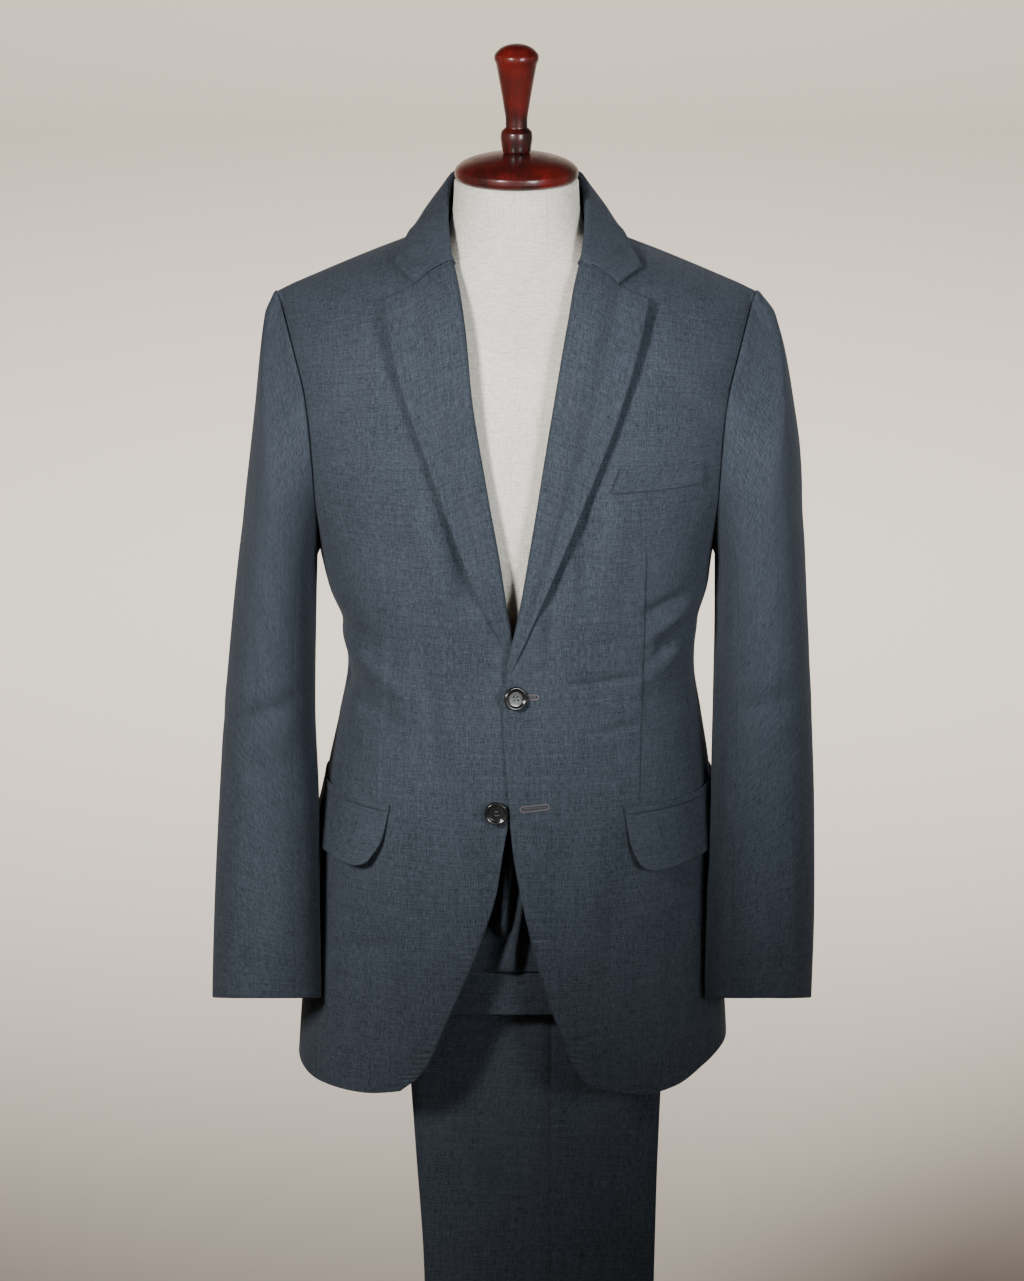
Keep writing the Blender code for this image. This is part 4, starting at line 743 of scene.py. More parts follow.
def sleeveCloth(name, side, turns, node):  # the panel's outside, one wall out along its normals
    inner, towardsMiddle = sleevePanel(side, turns)
    out = side * normals(inner)
    firstRows = ease(np.linspace(0, 1, len(inner)), 0, 0.012)[:, None, None]
    n = mix(-towardsMiddle, out, firstRows)
    n = unit(n)
    outer = inner + cloth * out * firstRows
    level = inner[..., 2].mean(1)[:, None]
    start = -weaveMap(outer)[:, outer.shape[1] // 2, 0]
    return wall(name, outer, n, cloth, weaveMap(outer, start, level), nodes=(node,),
                held="hung", rests=("jacket_front_left" if side > 0 else "jacket_front_right",),
                soft=(0.25, 1, 0.12, 0.12))


seams, seamOpen = (sleeve["seamFront"], sleeve["seamBack"]), sleeve["seamTurn"]
for side, label in ((1, "left"), (-1, "right")):
    for part, turns in (("top", np.linspace(seams[1] - 360 + seamOpen, seams[0] - seamOpen, 96)),
                        ("under", np.linspace(seams[0] + seamOpen, seams[1] - seamOpen, 48))):
        sleeveCloth(f"{part}_sleeve_{label}", side, turns, f"jacket_{part}_sleeve_{label}")
print("sleeves made")

# Lapels: the cloth turns round the front's edge and lies back on the front
lapel = {"bulge": 0.070, "edgeLift": 0.0016, "cornerLift": 0.0018, "rows": 124, "columns": 50,
         "turnColumns": 12, "taper": 0.006, "notch": 0.552,
         "lowestLeft": 1.1220, "lowestRight": 1.1300}


# A half circle round the roll, then flat on the front with a bulge
def lapelCloth(side, label, roll, edge, lowest):
    v = np.linspace(0, 1, lapel["rows"])[:, None] ** 1.15
    u = np.linspace(0, 1, lapel["columns"])[None, :]
    z = mix(lowest, mix(jacket["lapelTopZ"] - 0.001, jacket["lapelCornerZ"], u), v)
    inner = smooth(roll, z)
    taper = mix(0.5, 1.0, ease(z, lowest, lowest + lapel["taper"]))
    width = np.maximum(smooth(edge, z) - inner, 0.0008) * taper
    thin = mix(0.3, 1.0, ease(z, lowest, lowest + 0.025))
    radius = (lift + cloth * 1.5) * mix(0.62, 1.0, ease(z[:, :1], lowest, lowest + 0.030))
    start = np.minimum(0.263 * radius, 0.4 * width)
    x = inner + np.where(u > 0, mix(start, width, u), 0)
    base = frontPoint(side * x, z)
    n = bodyNormals(base)
    bulge = lapel["bulge"] * width * np.sin(np.pi * np.clip(u / 0.6, 0, 1)) ** 1.5 * ease(v, 0, 0.25)
    bulge = bulge + 0.0010 * ease(u, 0.4, 0.7) * ease(v, 0.6, 0.9)
    raised = lapel["edgeLift"] * ease(v, 0.05, 0.3) + lapel["cornerLift"] * ease(v, 0.75, 1)
    bulge = bulge + ease(u, 0.65, 1) * raised
    flat = base + (radius - cloth / 2 + bulge)[..., None] * n
    # the turn: a half circle from behind the front's edge, out past it and on to the lapel
    turn = np.radians(np.linspace(-80, 85, lapel["turnColumns"]))[None, :]
    inwards = np.array([-side, 0.0, 0.0])
    centre = base[:, :1] - n[:, :1] * cloth / 2
    rolled = (centre + n[:, :1] * (radius * np.sin(turn))[..., None]
              + inwards * (radius * np.cos(turn) - radius * 0.35)[..., None])
    grid = np.concatenate([rolled, flat[:, 1:]], 1)
    if side < 0:
        grid[..., 1] += tuckIn(grid[..., 0], grid[..., 2])
    out = normals(grid) * side
    out = np.where((out * n[:, :1]).sum(-1, keepdims=True)[:, -1:].mean() < 0, -out, out)
    wall("lapel_" + label, grid, out, cloth, weaveMap(grid, 0.0, z.mean(1)[:, None]),
         nodes=("jacket_lapel_" + label,), held="folded", rests=("jacket_front_" + label,),
         soft=(0.5, 0.15, 1, 0.8),
         thin=np.concatenate([np.repeat(thin[:, :1], lapel["turnColumns"], 1), thin[:, 1:]], 1))
    return grid[-1], out[-1], n[-1, 0]


gorges = {1: lapelCloth(1, "left", rollLeft, lapelLeft, lapel["lowestLeft"]),
          -1: lapelCloth(-1, "right", rollRight, lapelRight, lapel["lowestRight"])}

# Collar stations from the middle of the back to the gorge: roll, leaf edge, foot of the stand
collarTable = [
    (0.000, 0.0000, 0.0720, 1.5170, 0.0000, 0.1130, 1.4620, 0.0000, 0.0745, 1.4800),
    (0.200, 0.0350, 0.0630, 1.5170, 0.0420, 0.1030, 1.4630, 0.0380, 0.0650, 1.4805),
    (0.380, 0.0520, 0.0420, 1.5170, 0.0690, 0.0730, 1.4680, 0.0570, 0.0430, 1.4810),
    (0.520, 0.0590, 0.0150, 1.5080, 0.0825, 0.0320, 1.4750, 0.0630, 0.0140, 1.4810),
    (0.660, 0.0600, -0.0160, 1.4940, 0.0890, 0.0020, 1.4760, 0.0635, -0.0150, 1.4760),
    (0.800, 0.0590, -0.0400, 1.4800, 0.0955, -0.0180, 1.4680, 0.0592, -0.0395, 1.4680),
    (0.920, 0.0572, -0.0550, 1.4700, 0.1008, -0.0405, 1.4530, 0.0570, -0.0540, 1.4632),
    (1.000, 0.0562, -0.0606, 1.4655, 0.0862, -0.0655, 1.4485, 0.0562, -0.0596, 1.4620),
]
collar = {"lift": 0.0037, "stations": 66, "last": 16, "fall": 24, "stand": 10, "point": 0.920,
          "cloth": 0.0016}


def overShoulder(points, raise_):  # points moved out along the normal until they clear the shoulder
    out = points.copy()
    for _ in range(3):
        floor = shoulderHeight(out[..., 0], out[..., 1])
        n = bodyNormals(np.stack([out[..., 0], out[..., 1], floor], -1))
        above = (out[..., 2] - floor) * np.maximum(n[..., 2], 0.15)
        out = out + n * np.maximum(raise_ - above, 0)[..., None]
    return out


def along(curve, count):  # the same curve with evenly spaced points
    away = np.concatenate([[0], np.cumsum(np.linalg.norm(np.diff(curve, axis=0), axis=1))])
    at = np.linspace(0, away[-1], count)
    return np.stack([np.interp(at, away, curve[:, k]) for k in range(3)], -1)


# The collar's end: the lapel's top border from the notch round the roll, moved up by a seam's gap
def gorgeLine(side):
    row, out, n = gorges[side]
    first = lapel["turnColumns"] - 1
    last = first + round(lapel["notch"] * (lapel["columns"] - 1))
    up = np.array([0.0, 0.0, 1.0])
    tangent = np.gradient(row, axis=0)
    away = up - (up * out).sum(-1, keepdims=True) * out
    away = away - (away * tangent).sum(-1, keepdims=True) * tangent / (tangent ** 2).sum(-1, keepdims=True)
    away = unit(away)
    row = row + away * 0.0001
    fall = along(row[first:last + 1][::-1], collar["fall"])
    stand = along(row[:first + 1][::-1], collar["stand"] + 2)[1:]
    return np.concatenate([fall, stand]) * (side, 1, 1)


def collarHalf(side):  # leaf, roll and stand at each station, blended straight to the gorge
    point = collar["point"]
    at = np.linspace(0, point, collar["stations"])
    rollLine, leaf, foot = (np.stack([smooth(collarTable[:7], at, k + i) for i in range(3)], -1)
                            for k in (1, 4, 7))
    t = np.linspace(0, 1, collar["fall"])[:, None, None]
    swell = np.sin(np.pi * t) * 0.004
    front = ease(at, 0.7, 0.95) * (side > 0)
    leaf = leaf + front[:, None] * np.array([0.0020, -0.0015, -0.0035])
    out = leaf - rollLine
    out[..., 2] = 0
    out = unit(out)
    fall = mix(leaf, rollLine + out * 0.0022, t) + swell * out
    low = overShoulder(fall, collar["lift"])
    fall = mix(low, fall, ease(t, 0.75, 0.95))
    top = (rollLine + np.array([0, 0, 0.0012]))[None]
    stand = mix(rollLine - out * 0.0016, foot, np.linspace(0, 1, collar["stand"])[:, None, None])
    grid = np.concatenate([fall, top, stand]).transpose(1, 0, 2)
    # from the collar's point on, straight to the gorge
    t = np.linspace(0, 1, collar["last"])[1:, None, None]
    end = gorgeLine(side)[None]
    bow = np.sin(np.pi * t) * 0.0010
    last = mix(grid[-1:], end, t) + bow * bodyNormals(end)
    grid = np.concatenate([grid, last])
    grid[..., 0] *= side
    return grid


whole = np.concatenate([collarHalf(-1)[1:][::-1], collarHalf(1)])
facing = normals(whole)
wall("collar", whole, -facing, collar["cloth"], weaveMap(whole)[..., ::-1], nodes=("jacket_collar",),
     held="folded", rests=("jacket_back_left", "jacket_front_left"), soft=(0.2, 0.2, 1, 0.6))
print("lapels and collar made")

# Pocket flaps: height and how far out the front end lies
flap = {"left": [(0.9445, 0.1120), (0.9480, 0.1035), (0.9545, 0.0995), (0.9680, 0.0955), (0.9940, 0.0918)],
        "right": [(0.9445, 0.1300), (0.9480, 0.1225), (0.9545, 0.1185), (0.9680, 0.1125), (0.9940, 0.1080)],
        "bottomZ": 0.9445, "topZ": 0.9940, "jetTopZ": 1.0005, "backAngle": 97,
        "lift": 0.0042, "corner": 0.0075, "sewnDown": 0.0014}
for side, label in ((1, "left"), (-1, "right")):
    table = flap[label]
    u = np.linspace(0, 1, 60)[None, :]
    z = np.linspace(flap["bottomZ"], flap["topZ"], 36)[:, None]
    rounded = (smooth(table, z) - table[-1][1]) / 0.17 * 57.3  # degrees at 17 cm from the middle
    turns = mix(angleAt(side * smooth(table, z), z), side * (flap["backAngle"] - rounded), u)
    base = lowerBody(turns, z + 0 * u)
    n = bodyNormals(base)
    down = (flap["topZ"] - z) / (flap["topZ"] - flap["bottomZ"])
    away = flap["lift"] * down ** 1.5 + flap["corner"] * down ** 2 * (1 - ease(u, 0, 0.45))
    sewn = flap["sewnDown"] * ease(u, 0.70, 0.88)  # the back end is sewn down into the side panel
    away = away - 0.7 * sewn * (1 - down)
    wall("flap_" + label, base + (lift + 0.0006 + trim + away)[..., None] * n, n, trim,
         weaveMap(base, 0.0, z), nodes=("pocket_flap_" + label,), held="hung",
         rests=("jacket_front_" + label,), soft=(1, 0.4, 1, 1))
    z = np.linspace(flap["topZ"] + 0.0005, flap["jetTopZ"], 8)[:, None]
    turns = mix(angleAt(side * (table[-1][1] - 0.0008), z), side * (flap["backAngle"] + 0.4), u)
    base = lowerBody(turns, z + 0 * u)
    n = bodyNormals(base)
    wall("jetting_" + label, base + (lift + 0.0010 + trim - sewn)[..., None] * n, n, trim,
         weaveMap(base, 0.0, z)[..., ::-1], nodes=("pocket_jetting_" + label,), held="folded",
         rests=("jacket_front_" + label,))

# Breast welt: from its lower to its upper edge, at the inner and at the outer end
welt = {"innerX": (0.0784, 0.0868), "outerX": 0.1560, "innerZ": (1.2774, 1.2986), "outerZ": (1.2786, 1.2978)}
u, t = np.linspace(0, 1, 50)[None, :], np.linspace(0, 1, 16)[:, None]
base = frontPoint(mix(mix(*welt["innerX"], t), welt["outerX"], u),
                  mix(mix(*welt["innerZ"], t), mix(*welt["outerZ"], t), u))
n = bodyNormals(base)
wall("breast_welt_cloth", base + (lift + 0.0003 + trim) * n, n, trim, weaveMap(base), nodes=("breast_welt",),
     held="folded", rests=("jacket_front_left",))
print("pockets made")


def turnedPiece(name, profile, centre, look, nodes, sides=96, axis=None, change=None):
    # profile of radius and distance along the axis, turned round it, closed at both ends
    profile = np.asarray(profile, float)
    turn = np.arange(sides) * 2 * math.pi / sides
    axis = np.array([0.0, 0.0, 1.0]) if axis is None else axis
    first = np.cross(axis, (0.0, 0.0, 1.0) if abs(axis[2]) < 0.9 else (1.0, 0.0, 0.0))
    first = unit(first)
    second = np.cross(axis, first)
    ring = np.cos(turn)[:, None] * first + np.sin(turn)[:, None] * second
    grid = np.asarray(centre) + profile[:, 1, None, None] * axis + profile[:, 0, None, None] * ring
    if change:
        grid = change(grid, np.asarray(centre))
    points = np.concatenate([grid.reshape(-1, 3), [grid[0].mean(0)], [grid[-1].mean(0)]])
    return makePiece(name, points, tubeFaces(len(profile), sides), look, nodes)


def fair(profile, steps=6):  # a curve through the profile's points, kept tight at corners given twice
    profile = np.asarray(profile, float)
    away = np.concatenate([[0], np.cumsum(np.linalg.norm(np.diff(profile, axis=0), axis=1))])
    table = np.column_stack([away, profile])
    at = [np.linspace(a, b, steps, endpoint=False) for a, b in zip(away[:-1], away[1:])]
    at = np.concatenate(at + [away[-1:]])
    return np.column_stack([smooth(table, at, 1), smooth(table, at, 2)])


# Form: torso, turned neck cap and handle, pole and foot
torsoTable = [
    (0.992, 0.1180, 0.0880, 0.0680), (0.996, 0.1300, 0.0990, 0.0780), (1.008, 0.1370, 0.1060, 0.0830),
    (1.050, 0.1370, 0.1070, 0.0810), (1.100, 0.1350, 0.1060, 0.0790), (1.170, 0.1490, 0.1130, 0.0900),
    (1.240, 0.1600, 0.1170, 0.1000), (1.300, 0.1650, 0.1160, 0.1040), (1.350, 0.1650, 0.1090, 0.1000),
    (1.385, 0.1600, 0.0990, 0.0930), (1.410, 0.1460, 0.0890, 0.0850), (1.432, 0.1180, 0.0780, 0.0760),
    (1.450, 0.0890, 0.0680, 0.0675), (1.465, 0.0690, 0.0600, 0.0605), (1.480, 0.0575, 0.0548, 0.0555),
    (1.500, 0.0535, 0.0530, 0.0532), (1.5188, 0.0526, 0.0526, 0.0526),
]
z = np.concatenate([np.linspace(torsoTable[0][0], 1.008, 10)[:-1],
                    np.linspace(1.008, torsoTable[-1][0], 150)])[:, None]
turn = (np.arange(120) * 2 * math.pi / 120)[None, :]
c, s = np.cos(turn), np.sin(turn)
power = mix(2.2, 2.0, ease(z, 1.45, 1.50))
x = smooth(torsoTable, z, 1) * np.sign(s) * np.abs(s) ** (2 / power)
y = np.where(c > 0, -smooth(torsoTable, z, 2), smooth(torsoTable, z, 3)) * np.abs(c) ** (2 / power)
grid = np.stack([x, y, z + 0 * x], -1)
makePiece("torso_cover", np.concatenate([grid.reshape(-1, 3), [grid[0].mean(0)], [grid[-1].mean(0)]]),
          tubeFaces(*grid.shape[:2]), cover, ("form_torso",))

cap = [(0.0480, 1.5192), (0.0512, 1.5214), (0.0524, 1.5245), (0.0522, 1.5280), (0.0500, 1.5312),
       (0.0430, 1.5357), (0.0320, 1.5394), (0.0200, 1.5419), (0.0120, 1.5430)]
handle = [(0.0112, 1.5434), (0.0120, 1.5450), (0.0129, 1.5500), (0.0135, 1.5560),
          (0.0130, 1.5605), (0.0108, 1.5632), (0.0092, 1.5648), (0.0092, 1.5700),
          (0.0108, 1.5820), (0.0138, 1.6000), (0.0172, 1.6180), (0.0188, 1.6236),
          (0.0187, 1.6256), (0.0165, 1.6292), (0.0120, 1.6328), (0.0060, 1.6350), (0.0010, 1.6356)]
turnedPiece("neck_cap", fair(cap), (0, 0, 0), wood, ("form_neck_cap",))
turnedPiece("neck_handle", fair(handle), (0, 0, 0), wood, ("form_neck_handle",))
stand = {"poleRadius": 0.0140, "poleTopZ": 0.9917, "baseHeight": 0.018, "baseRadius": 0.190,
         "clampZ": (0.948, 0.982), "clampWall": 0.0060}
poleRadius, baseHeight, baseRadius = (stand[k] for k in ("poleRadius", "baseHeight", "baseRadius"))
turnedPiece("pole", [(poleRadius - 0.0005, baseHeight + 0.0003), (poleRadius, baseHeight + 0.0008),
                     (poleRadius, stand["poleTopZ"] - 0.0005), (poleRadius - 0.0005, stand["poleTopZ"])],
            (0, 0, 0), metal, ("stand_pole",))
turnedPiece("foot", fair([(baseRadius - 0.002, 0.0), (baseRadius, 0.002), (baseRadius, 0.011),
                          (baseRadius - 0.004, 0.0155), (baseRadius - 0.012, baseHeight),
                          (0.0020, baseHeight)]),
            (0, 0, 0), metal, ("stand_base",), 160)
print("form made")

# Buttons
horns = {"radius": 0.0101, "height": 0.0038, "holeAway": 0.0021, "holeRadius": 0.00075, "holeDepth": 0.0012,
         "stem": 0.0018, "thread": 0.00034,
         "fastened": (-0.0019, 1.1009, 0.0, 0.0034, 15, 10), "free": (-0.0172, 0.9995, 0.0034, 0.0040, 3, 3)}


def sewnButton(name, place, node):  # a turned profile on the front's normal, turned and tilted
    x, z, inwards, k, turned, tilted = place
    surface = frontPoint(x, z) + np.array([0, inwards, 0])
    n = bodyNormals(surface)
    c, s = math.cos(math.radians(turned)), math.sin(math.radians(turned))
    axis = np.array([n[0] * c - n[1] * s, n[0] * s + n[1] * c, n[2] + math.tan(math.radians(tilted))])
    axis = unit(axis)
    r, h = horns["radius"], horns["height"]
    face = k + h - 0.0014
    rim = [(horns["stem"], 0), (horns["stem"], k), (0.0075, k), (r - 0.0006, k + 0.0008), (r, k + 0.0019),
           (r - 0.0005, k + h - 0.0006), (r - 0.0013, k + h), (r - 0.0024, k + h - 0.0004),
           (r - 0.0034, face + 0.0001), (r - 0.0040, face)]
    inner = [(q, face - 0.0002 * (1 - (q / r) ** 2)) for q in np.linspace(r - 0.0044, 0.0002, 44)]
    profile = np.concatenate([fair(rim, 4), inner])
    piece = turnedPiece(name, profile, surface + n * lift, button, (node,), 144, axis,
                        lambda points, centre: pierced(points, centre, axis, face))
    stitches(name, surface + n * lift + axis * (face - 0.0001), axis)
    return piece


def holeCentres(axis):  # four places round the middle of the face
    first = np.cross(axis, (0.0, 0.0, 1.0))
    first = unit(first)
    second = np.cross(axis, first)
    d = horns["holeAway"] / math.sqrt(2)
    return [(first * i + second * j) * d for i in (-1, 1) for j in (-1, 1)]


def pierced(points, centre, axis, face):  # points of the face near a hole sink into it
    off = points - centre
    level = (off * axis).sum(-1, keepdims=True)
    flat = off - level * axis
    for spot in holeCentres(axis):
        away = np.linalg.norm(flat - spot, axis=-1, keepdims=True)
        sink = horns["holeDepth"] * (1 - ease(away, horns["holeRadius"] * 0.7, horns["holeRadius"] * 1.15))
        points = points - axis * sink * (level > face - 0.0003) * (level < face + 0.00005)
    return points


def tube(name, path, radius, look, closed=False, sides=12, nodes=()):  # a round cord along a path
    path = np.asarray(path, float)
    ahead = np.roll(path, -1, 0) - np.roll(path, 1, 0) if closed else np.gradient(path, axis=0)
    ahead = unit(ahead)
    first = np.cross(ahead, np.cross(ahead, (0.03, 1.0, 0.02)))
    first = unit(first)
    second = np.cross(ahead, first)
    t = (np.arange(sides) * 2 * math.pi / sides)[None, :, None]
    size = radius * (1 + 0.10 * np.sin(np.arange(len(path)) * 2.4)[:, None, None])
    grid = path[:, None] + size * (np.cos(t) * first[:, None] + np.sin(t) * second[:, None])
    if closed:
        return makePiece(name, grid, ringFaces(len(path), sides), look, nodes)
    points = np.concatenate([grid.reshape(-1, 3), path[:1], path[-1:]])
    return makePiece(name, points, tubeFaces(len(path), sides), look, nodes)


def stitches(name, centre, axis):  # two low arches of thread between the holes
    spots = holeCentres(axis)
    for label, (a, b) in (("a", (0, 2)), ("b", (1, 3))):
        t = np.linspace(0, 1, 14)[:, None]
        arch = mix(spots[a], spots[b], t) + axis * (np.sin(np.pi * t) * 0.0009 - 0.0006)
        tube(name + "_thread_" + label, centre + arch, horns["thread"], darkThread)


sewnButton("button_fastened", horns["fastened"], "front_button_1")
sewnButton("button_free", horns["free"], "front_button_2")
print("buttons made")

# Buttonholes: two ends, half height and thread radius of the worked loop
buttonholes = {"buttonhole_upper": ((0.0022, 1.1010), (0.0185, 1.1014), 0.0021, 0.00052),
               "buttonhole_lower": ((0.0034, 1.0022), (0.0274, 1.0048), 0.0023, 0.00054)}
slitRadius = 0.00095
for name, (start, end, half, radius) in buttonholes.items():
    start, end = np.array(start), np.array(end)
    ahead = (end - start) / np.linalg.norm(end - start)
    up = np.array([-ahead[1], ahead[0]])
    turn = np.radians(np.linspace(-90, 90, 12))[:, None]
    edge = np.linspace(0, 1, 46)[1:-1, None]
    right = end - ahead * half + half * (np.cos(turn) * ahead + np.sin(turn) * up)
    left = start + ahead * half - half * (np.cos(turn) * ahead + np.sin(turn) * up)
    path = np.concatenate([right, mix(right[-1], left[0], edge), left, mix(left[-1], right[0], edge)])
    surface = frontPoint(path[:, 0], path[:, 1])
    tube(name, surface + bodyNormals(surface) * radius * 0.45, radius, holeThread, True)
    # A near-black cord laid along the slit is painted shade in the cut opening
    slit = mix(start + ahead * half, end - ahead * half, np.linspace(0, 1, 24)[:, None])
    surface = frontPoint(slit[:, 0], slit[:, 1])
    tube(name + "_slit", surface + bodyNormals(surface) * 0.0002, slitRadius, slitPaintedShade)
print("buttonholes made")

# Trousers over the bar
trouser = {"barY": -0.065, "barZ": 0.965, "middle": 0.017, "hemZ": 0.092, "seamZ": 0.8401, "bend": 0.0118,
           "ply": 0.0018, "space": 0.0010, "bandHeight": 0.038, "rod": 0.0065,
           "innerLeg": 0.0096, "outerLeg": 0.0147}
# Distance along from the waist seam, half width, sideways shift
legTable = [
    (0.000, 0.1070, 0.0000), (0.060, 0.1080, 0.0000), (0.125, 0.1120, 0.0000), (0.200, 0.1240, -0.0010),
    (0.260, 0.1260, -0.0010), (0.320, 0.1180, 0.0000), (0.370, 0.1112, 0.0000), (0.460, 0.1060, 0.0010),
    (0.560, 0.1016, 0.0030), (0.700, 0.0985, 0.0035), (0.850, 0.0960, 0.0035), (1.100, 0.0945, 0.0035),
]
ridges = [(-0.062, 0.016, 0.0050), (0.050, 0.015, 0.0060), (0.088, 0.018, 0.0040)]
# Two pleats between the fronts: height, place, half width at the left and at the right, how far forward
pleatUpper = [(0.872, -0.0120, 0.0025, 0.0020, 0.0), (0.884, -0.0118, 0.0040, 0.0028, 0.018),
              (0.893, -0.0112, 0.0045, 0.0030, 0.026), (0.930, -0.0075, 0.0065, 0.0045, 0.028),
              (0.966, -0.0035, 0.0085, 0.0060, 0.026), (0.980, -0.0020, 0.0090, 0.0070, 0.010)]
pleatLower = [(0.8401, -0.0060, 0.0125, 0.0070, 0.0), (0.846, -0.0045, 0.0120, 0.0050, 0.013),
              (0.860, -0.0030, 0.0095, 0.0040, 0.017), (0.885, 0.0012, 0.0055, 0.0032, 0.018),
              (0.905, 0.0040, 0.0040, 0.0030, 0.018), (0.935, 0.0060, 0.0040, 0.0030, 0.012),
              (0.960, 0.0070, 0.0040, 0.0030, 0.0)]
outseam = {"x": 0.0305, "depth": 0.0016, "width": 0.0016}
barY, barZ, trouserX = trouser["barY"], trouser["barZ"], trouser["middle"]
drop = barZ - trouser["seamZ"]
overBar = math.pi * trouser["bend"]


def legPoint(radius, away, part):  # down from the seam edge, half round the bar, then down behind it
    half, shift = smooth(legTable, away), smooth(legTable, away, 2)
    x = trouserX + shift + half * part
    rise = np.sin(np.pi * np.clip(away / drop, 0, 1)) ** 0.7
    yFront = barY - radius
    for place, width, height in ridges:
        yFront = yFront - height * rise * bell(x - place - 0.010 * away / drop, width)
    height = trouser["seamZ"] + np.clip(away, 0, drop)
    for table in (pleatUpper, pleatLower):
        off = x - smooth(table, height, 1)
        width = np.where(off < 0, smooth(table, height, 2), smooth(table, height, 3))
        yFront = yFront - smooth(table, height, 4) * bell(np.maximum(np.abs(off) / width - 0.35, 0), 1.0)
    t = np.clip((away - drop) / overBar, 0, 1) * math.pi
    low = ease(away, 0.45, 0.80)
    yBack = barY + radius + low * 0.0035 * np.sin((x - trouserX) * 38.0 + 0.6) - 0.006 * low
    line = x - outseam["x"] - 0.002 * low
    yBack = yBack + outseam["depth"] * bell(line, outseam["width"]) - 0.0022 * bell(line + 0.010, 0.009)
    y = np.where(away < drop, yFront, np.where(away < drop + overBar, barY - radius * np.cos(t), yBack))
    z = np.where(away < drop, trouser["seamZ"] + away,
                 np.where(away < drop + overBar, barZ + radius * np.sin(t), barZ - (away - drop - overBar)))
    return np.stack(np.broadcast_arrays(x, y, z), -1)


stops = np.concatenate([np.linspace(0, drop, 44), drop + overBar * np.linspace(0, 1, 18)[1:],
                        drop + overBar + (barZ - trouser["hemZ"]) * np.linspace(0, 1, 64)[1:]])[:, None]
around = np.concatenate([np.linspace(-1, -0.46, 10)[:-1], np.linspace(-0.46, 0.20, 52)[:-1],
                         np.linspace(0.20, 1, 14)])
thick = trouser["ply"] + trouser["space"] / 2
for label, radius in (("right", trouser["innerLeg"]), ("left", trouser["outerLeg"])):
    full = np.clip((1 - np.abs(around)) / 0.04, 0, 1)
    full = thick * np.sqrt(1 - (1 - full) ** 2).clip(0.25)
    front = legPoint(radius + full[None, :], stops, around[None, :])
    back = legPoint(radius - full[None, ::-1], stops, around[None, ::-1])
    grid = np.concatenate([front, back], 1)
    n = normals(grid, True)
    n = n * np.sign((n[100, 20] * (front[100, 20] - back[100, -21])).sum())
    wall("leg_" + label, grid, n, trouser["ply"], weaveMap(grid, 0.0, stops), nodes=("trouser_leg_" + label,),
         held="folded", rests=("trouser_bar",), wrap=True)

bandX = (trouserX - legTable[0][1], trouserX + legTable[0][1])
band = {"wall": 0.0018, "layers": (-0.0822, -0.0789, -0.0756, -0.0723), "tuck": 0.096}


def bandPath():  # four layers one behind another, with round turns at the ends
    y1, y2, y3, y4 = band["layers"]
    r, tuck = (y2 - y1) / 2, band["tuck"]
    left, right = bandX
    turns = [(right - r, (y1 + y2) / 2, -90, 90), (right - tuck, (y2 + y3) / 2, 270, 90),
             (right - r, (y3 + y4) / 2, -90, 90), (left + r, (y3 + y4) / 2, 90, 270),
             (left + tuck, (y2 + y3) / 2, 90, -90), (left + r, (y1 + y2) / 2, 90, 270)]
    points = []
    for i, (cx, cy, first, last) in enumerate(turns):
        t = np.radians(np.linspace(first, last, 11))
        points.append(np.column_stack([cx + r * np.cos(t), cy + r * np.sin(t)]))
        nx, ny, start, _ = turns[(i + 1) % 6]
        target = np.array([nx + r * math.cos(math.radians(start)), ny + r * math.sin(math.radians(start))])
        points.append(mix(points[-1][-1], target, np.linspace(0, 1, 22)[1:-1, None]))
    return np.concatenate(points)


path = bandPath()
ahead = np.roll(path, -1, 0) - np.roll(path, 1, 0)
ahead = unit(ahead)
away = np.stack([ahead[:, 1], -ahead[:, 0], 0 * ahead[:, 0]], -1)[None]
topZ = trouser["seamZ"] - 0.0004
z = np.linspace(topZ - trouser["bandHeight"], topZ, 24)[:, None]
flatPath = np.concatenate([path, np.zeros((len(path), 1))], 1)[None] + away * band["wall"] / 2
grid = flatPath + np.stack([0 * z, 0 * z, z], -1)
wall("waistband", grid, np.broadcast_to(away, grid.shape), band["wall"], weaveMap(grid)[..., ::-1],
     nodes=("trouser_waistband",), held="folded", rests=("trouser_leg_left",), wrap=True)
print("trousers made")

# Trouser bar and clamp
ring = {"x": (-0.112, 0.144), "backY": -0.0278, "corner": 0.014}
turn = np.radians(np.concatenate([np.linspace(a, a + 90, 12) for a in (-90, 0, 90, 180)]))
cornerX = np.repeat([ring["x"][1] - ring["corner"]] * 2 + [ring["x"][0] + ring["corner"]] * 2, 12)
cornerY = np.repeat([barY + ring["corner"], ring["backY"] - ring["corner"],
                     ring["backY"] - ring["corner"], barY + ring["corner"]], 12)
path = np.column_stack([cornerX + ring["corner"] * np.cos(turn), cornerY + ring["corner"] * np.sin(turn)])
out = np.column_stack([np.cos(turn), np.sin(turn)])
t = (np.arange(24) * 2 * math.pi / 24)[None, :, None]
grid = np.concatenate([path[:, None] + out[:, None] * trouser["rod"] * np.cos(t),
                       barZ + trouser["rod"] * np.sin(t) + 0 * path[:, None, :1]], -1)
makePiece("bar", grid, ringFaces(len(path), 24), metal, ("trouser_bar",))
(low, high), outside, edge = stand["clampZ"], poleRadius + stand["clampWall"], 0.0005
clampProfile = [(poleRadius + 0.0003, low), (outside - edge, low), (outside, low + edge),
                (outside, high - edge), (outside - edge, high), (poleRadius + 0.0003, high)]
turn = np.arange(72) * 2 * math.pi / 72
grid = np.array([[(r * math.cos(a), r * math.sin(a), h) for a in turn] for r, h in clampProfile])
makePiece("clamp", grid, ringFaces(len(clampProfile), 72), metal, ("bar_clamp",))
print("stand made")

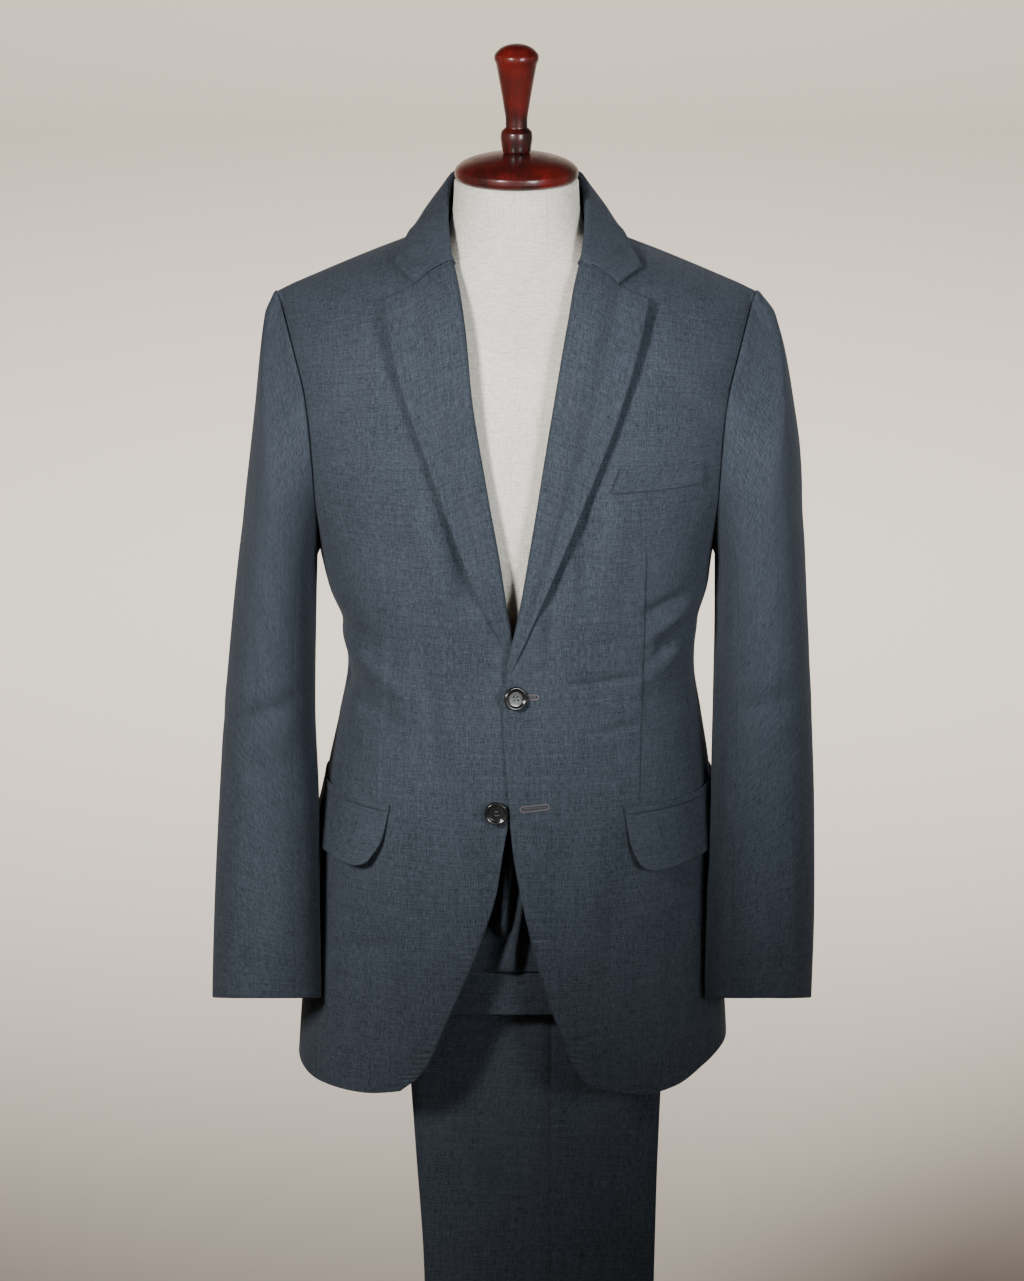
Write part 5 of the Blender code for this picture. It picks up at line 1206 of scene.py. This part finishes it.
# Floor, lights and camera
room = {"radius": 10.0, "bend": 1.6, "high": 7.0, "sides": 96}
t = np.linspace(0, math.pi / 2, 16)
curve = np.column_stack([room["radius"] - room["bend"] * (1 - np.sin(t)), room["bend"] * (1 - np.cos(t))])
sweep = np.concatenate([[(0.001, 0.0)], curve, [(room["radius"], room["high"])]])
turn = np.arange(room["sides"]) * 2 * math.pi / room["sides"]
points = np.stack([sweep[:, :1] * np.sin(turn), sweep[:, :1] * np.cos(turn), sweep[:, 1:] + 0 * turn], -1)
floorMesh = bpy.data.meshes.new("floor")
floorMesh.from_pydata(points.reshape(-1, 3).tolist(), [], quads(len(sweep), room["sides"], True).tolist())
floorMesh.polygons.foreach_set("use_smooth", np.ones(len(floorMesh.polygons), bool))
floor = bpy.data.objects.new("floor", floorMesh)
bpy.context.scene.collection.objects.link(floor)
floorFinish = Finish("paleFloor", (0.66, 0.59, 0.52), Roughness=0.95)
floor.data.materials.append(floorFinish.material)

# Place, target, size, power, spread in degrees, colour
lights = {
    "key": ((-1.08, -1.98, 2.12), (-0.05, -0.10, 1.20), 0.5, 15.4, 58, (1.0, 0.99, 0.97)),
    "fill": ((1.30, -2.10, 1.80), (0.16, 0, 1.38), 0.9, 5.4, 34, (0.95, 0.98, 1.0)),
    "top": ((0.1, 0.5, 3.2), (0, 0, 1.4), 1.2, 1.0, 120, (1.0, 1.0, 1.0)),
    "back": ((0.9, 2.4, 2.3), (0, 0, 1.15), 0.9, 9.0, 60, (1.0, 0.99, 0.97)),
    "floorBack": ((0.0, 1.6, 5.2), (0, 8.0, 0.0), 1.6, 480, 110, (1.0, 0.98, 0.95)),
    "floorFront": ((0.0, -2.0, 5.6), (0, -8.0, 0.6), 1.6, 100, 110, (1.0, 0.98, 0.95)),
    "floorLeft": ((1.9, 0.2, 5.4), (8.0, 0.2, 0.5), 1.6, 110, 110, (1.0, 0.98, 0.95)),
    "floorRight": ((-1.9, 0.2, 5.4), (-8.0, 0.2, 0.5), 1.6, 110, 110, (1.0, 0.98, 0.95)),
}


def aim(thing, target):  # turned so that its own minus Z points at the target
    way = np.array(target) - np.array(thing.location)
    down = math.atan2(math.hypot(way[0], way[1]), -way[2])
    thing.rotation_euler = (down, 0, math.atan2(way[1], way[0]) - math.pi / 2)


for name, (place, target, size, power, spread, colour) in lights.items():
    lamp = bpy.data.lights.new(name, "AREA")
    lamp.shape, lamp.size, lamp.energy, lamp.color = "DISK", size, power, colour
    lamp.spread = math.radians(spread)
    thing = bpy.data.objects.new(name, lamp)
    thing.location = place
    aim(thing, target)
    thing.visible_glossy = name in ("key", "fill")
    bpy.context.scene.collection.objects.link(thing)

# A dark card part of the way to the key light, so the light fades towards the lower right
card = {"far": 0.60, "y": -0.13, "corners": [(-0.09, 0.78), (0.60, 1.32), (0.60, 0.36), (-0.09, 0.36)]}
source = np.array(lights["key"][0])
points = [source + card["far"] * (np.array([x, card["y"], z]) - source) for x, z in card["corners"]]
cardMesh = bpy.data.meshes.new("lightCard")
cardMesh.from_pydata([tuple(p) for p in points], [], [(0, 1, 2, 3)])
cardPiece = bpy.data.objects.new("lightCard", cardMesh)
cardPiece.visible_camera = cardPiece.visible_glossy = False
bpy.context.scene.collection.objects.link(cardPiece)
cardMesh.materials.append(Finish("darkCard", (0.02, 0.02, 0.02), Roughness=0.95).material)

world = bpy.data.worlds.new("studio")
world.use_nodes = True
world.node_tree.nodes["Background"].inputs["Color"].default_value = (0.80, 0.79, 0.78, 1)
world.node_tree.nodes["Background"].inputs["Strength"].default_value = 0.006
bpy.context.scene.world = world

view = {"place": (-0.0007, -4.80, 2.46), "target": (-0.0007, 0.0, 1.115), "focalPixels": 5766.0}
cameraData = bpy.data.cameras.new("camera")
cameraData.sensor_fit, cameraData.sensor_height = "VERTICAL", 24.0
cameraData.lens = view["focalPixels"] * 24.0 / 1281.0
camera = bpy.data.objects.new("camera", cameraData)
camera.location = view["place"]
aim(camera, view["target"])
bpy.context.scene.collection.objects.link(camera)
bpy.context.scene.camera = camera
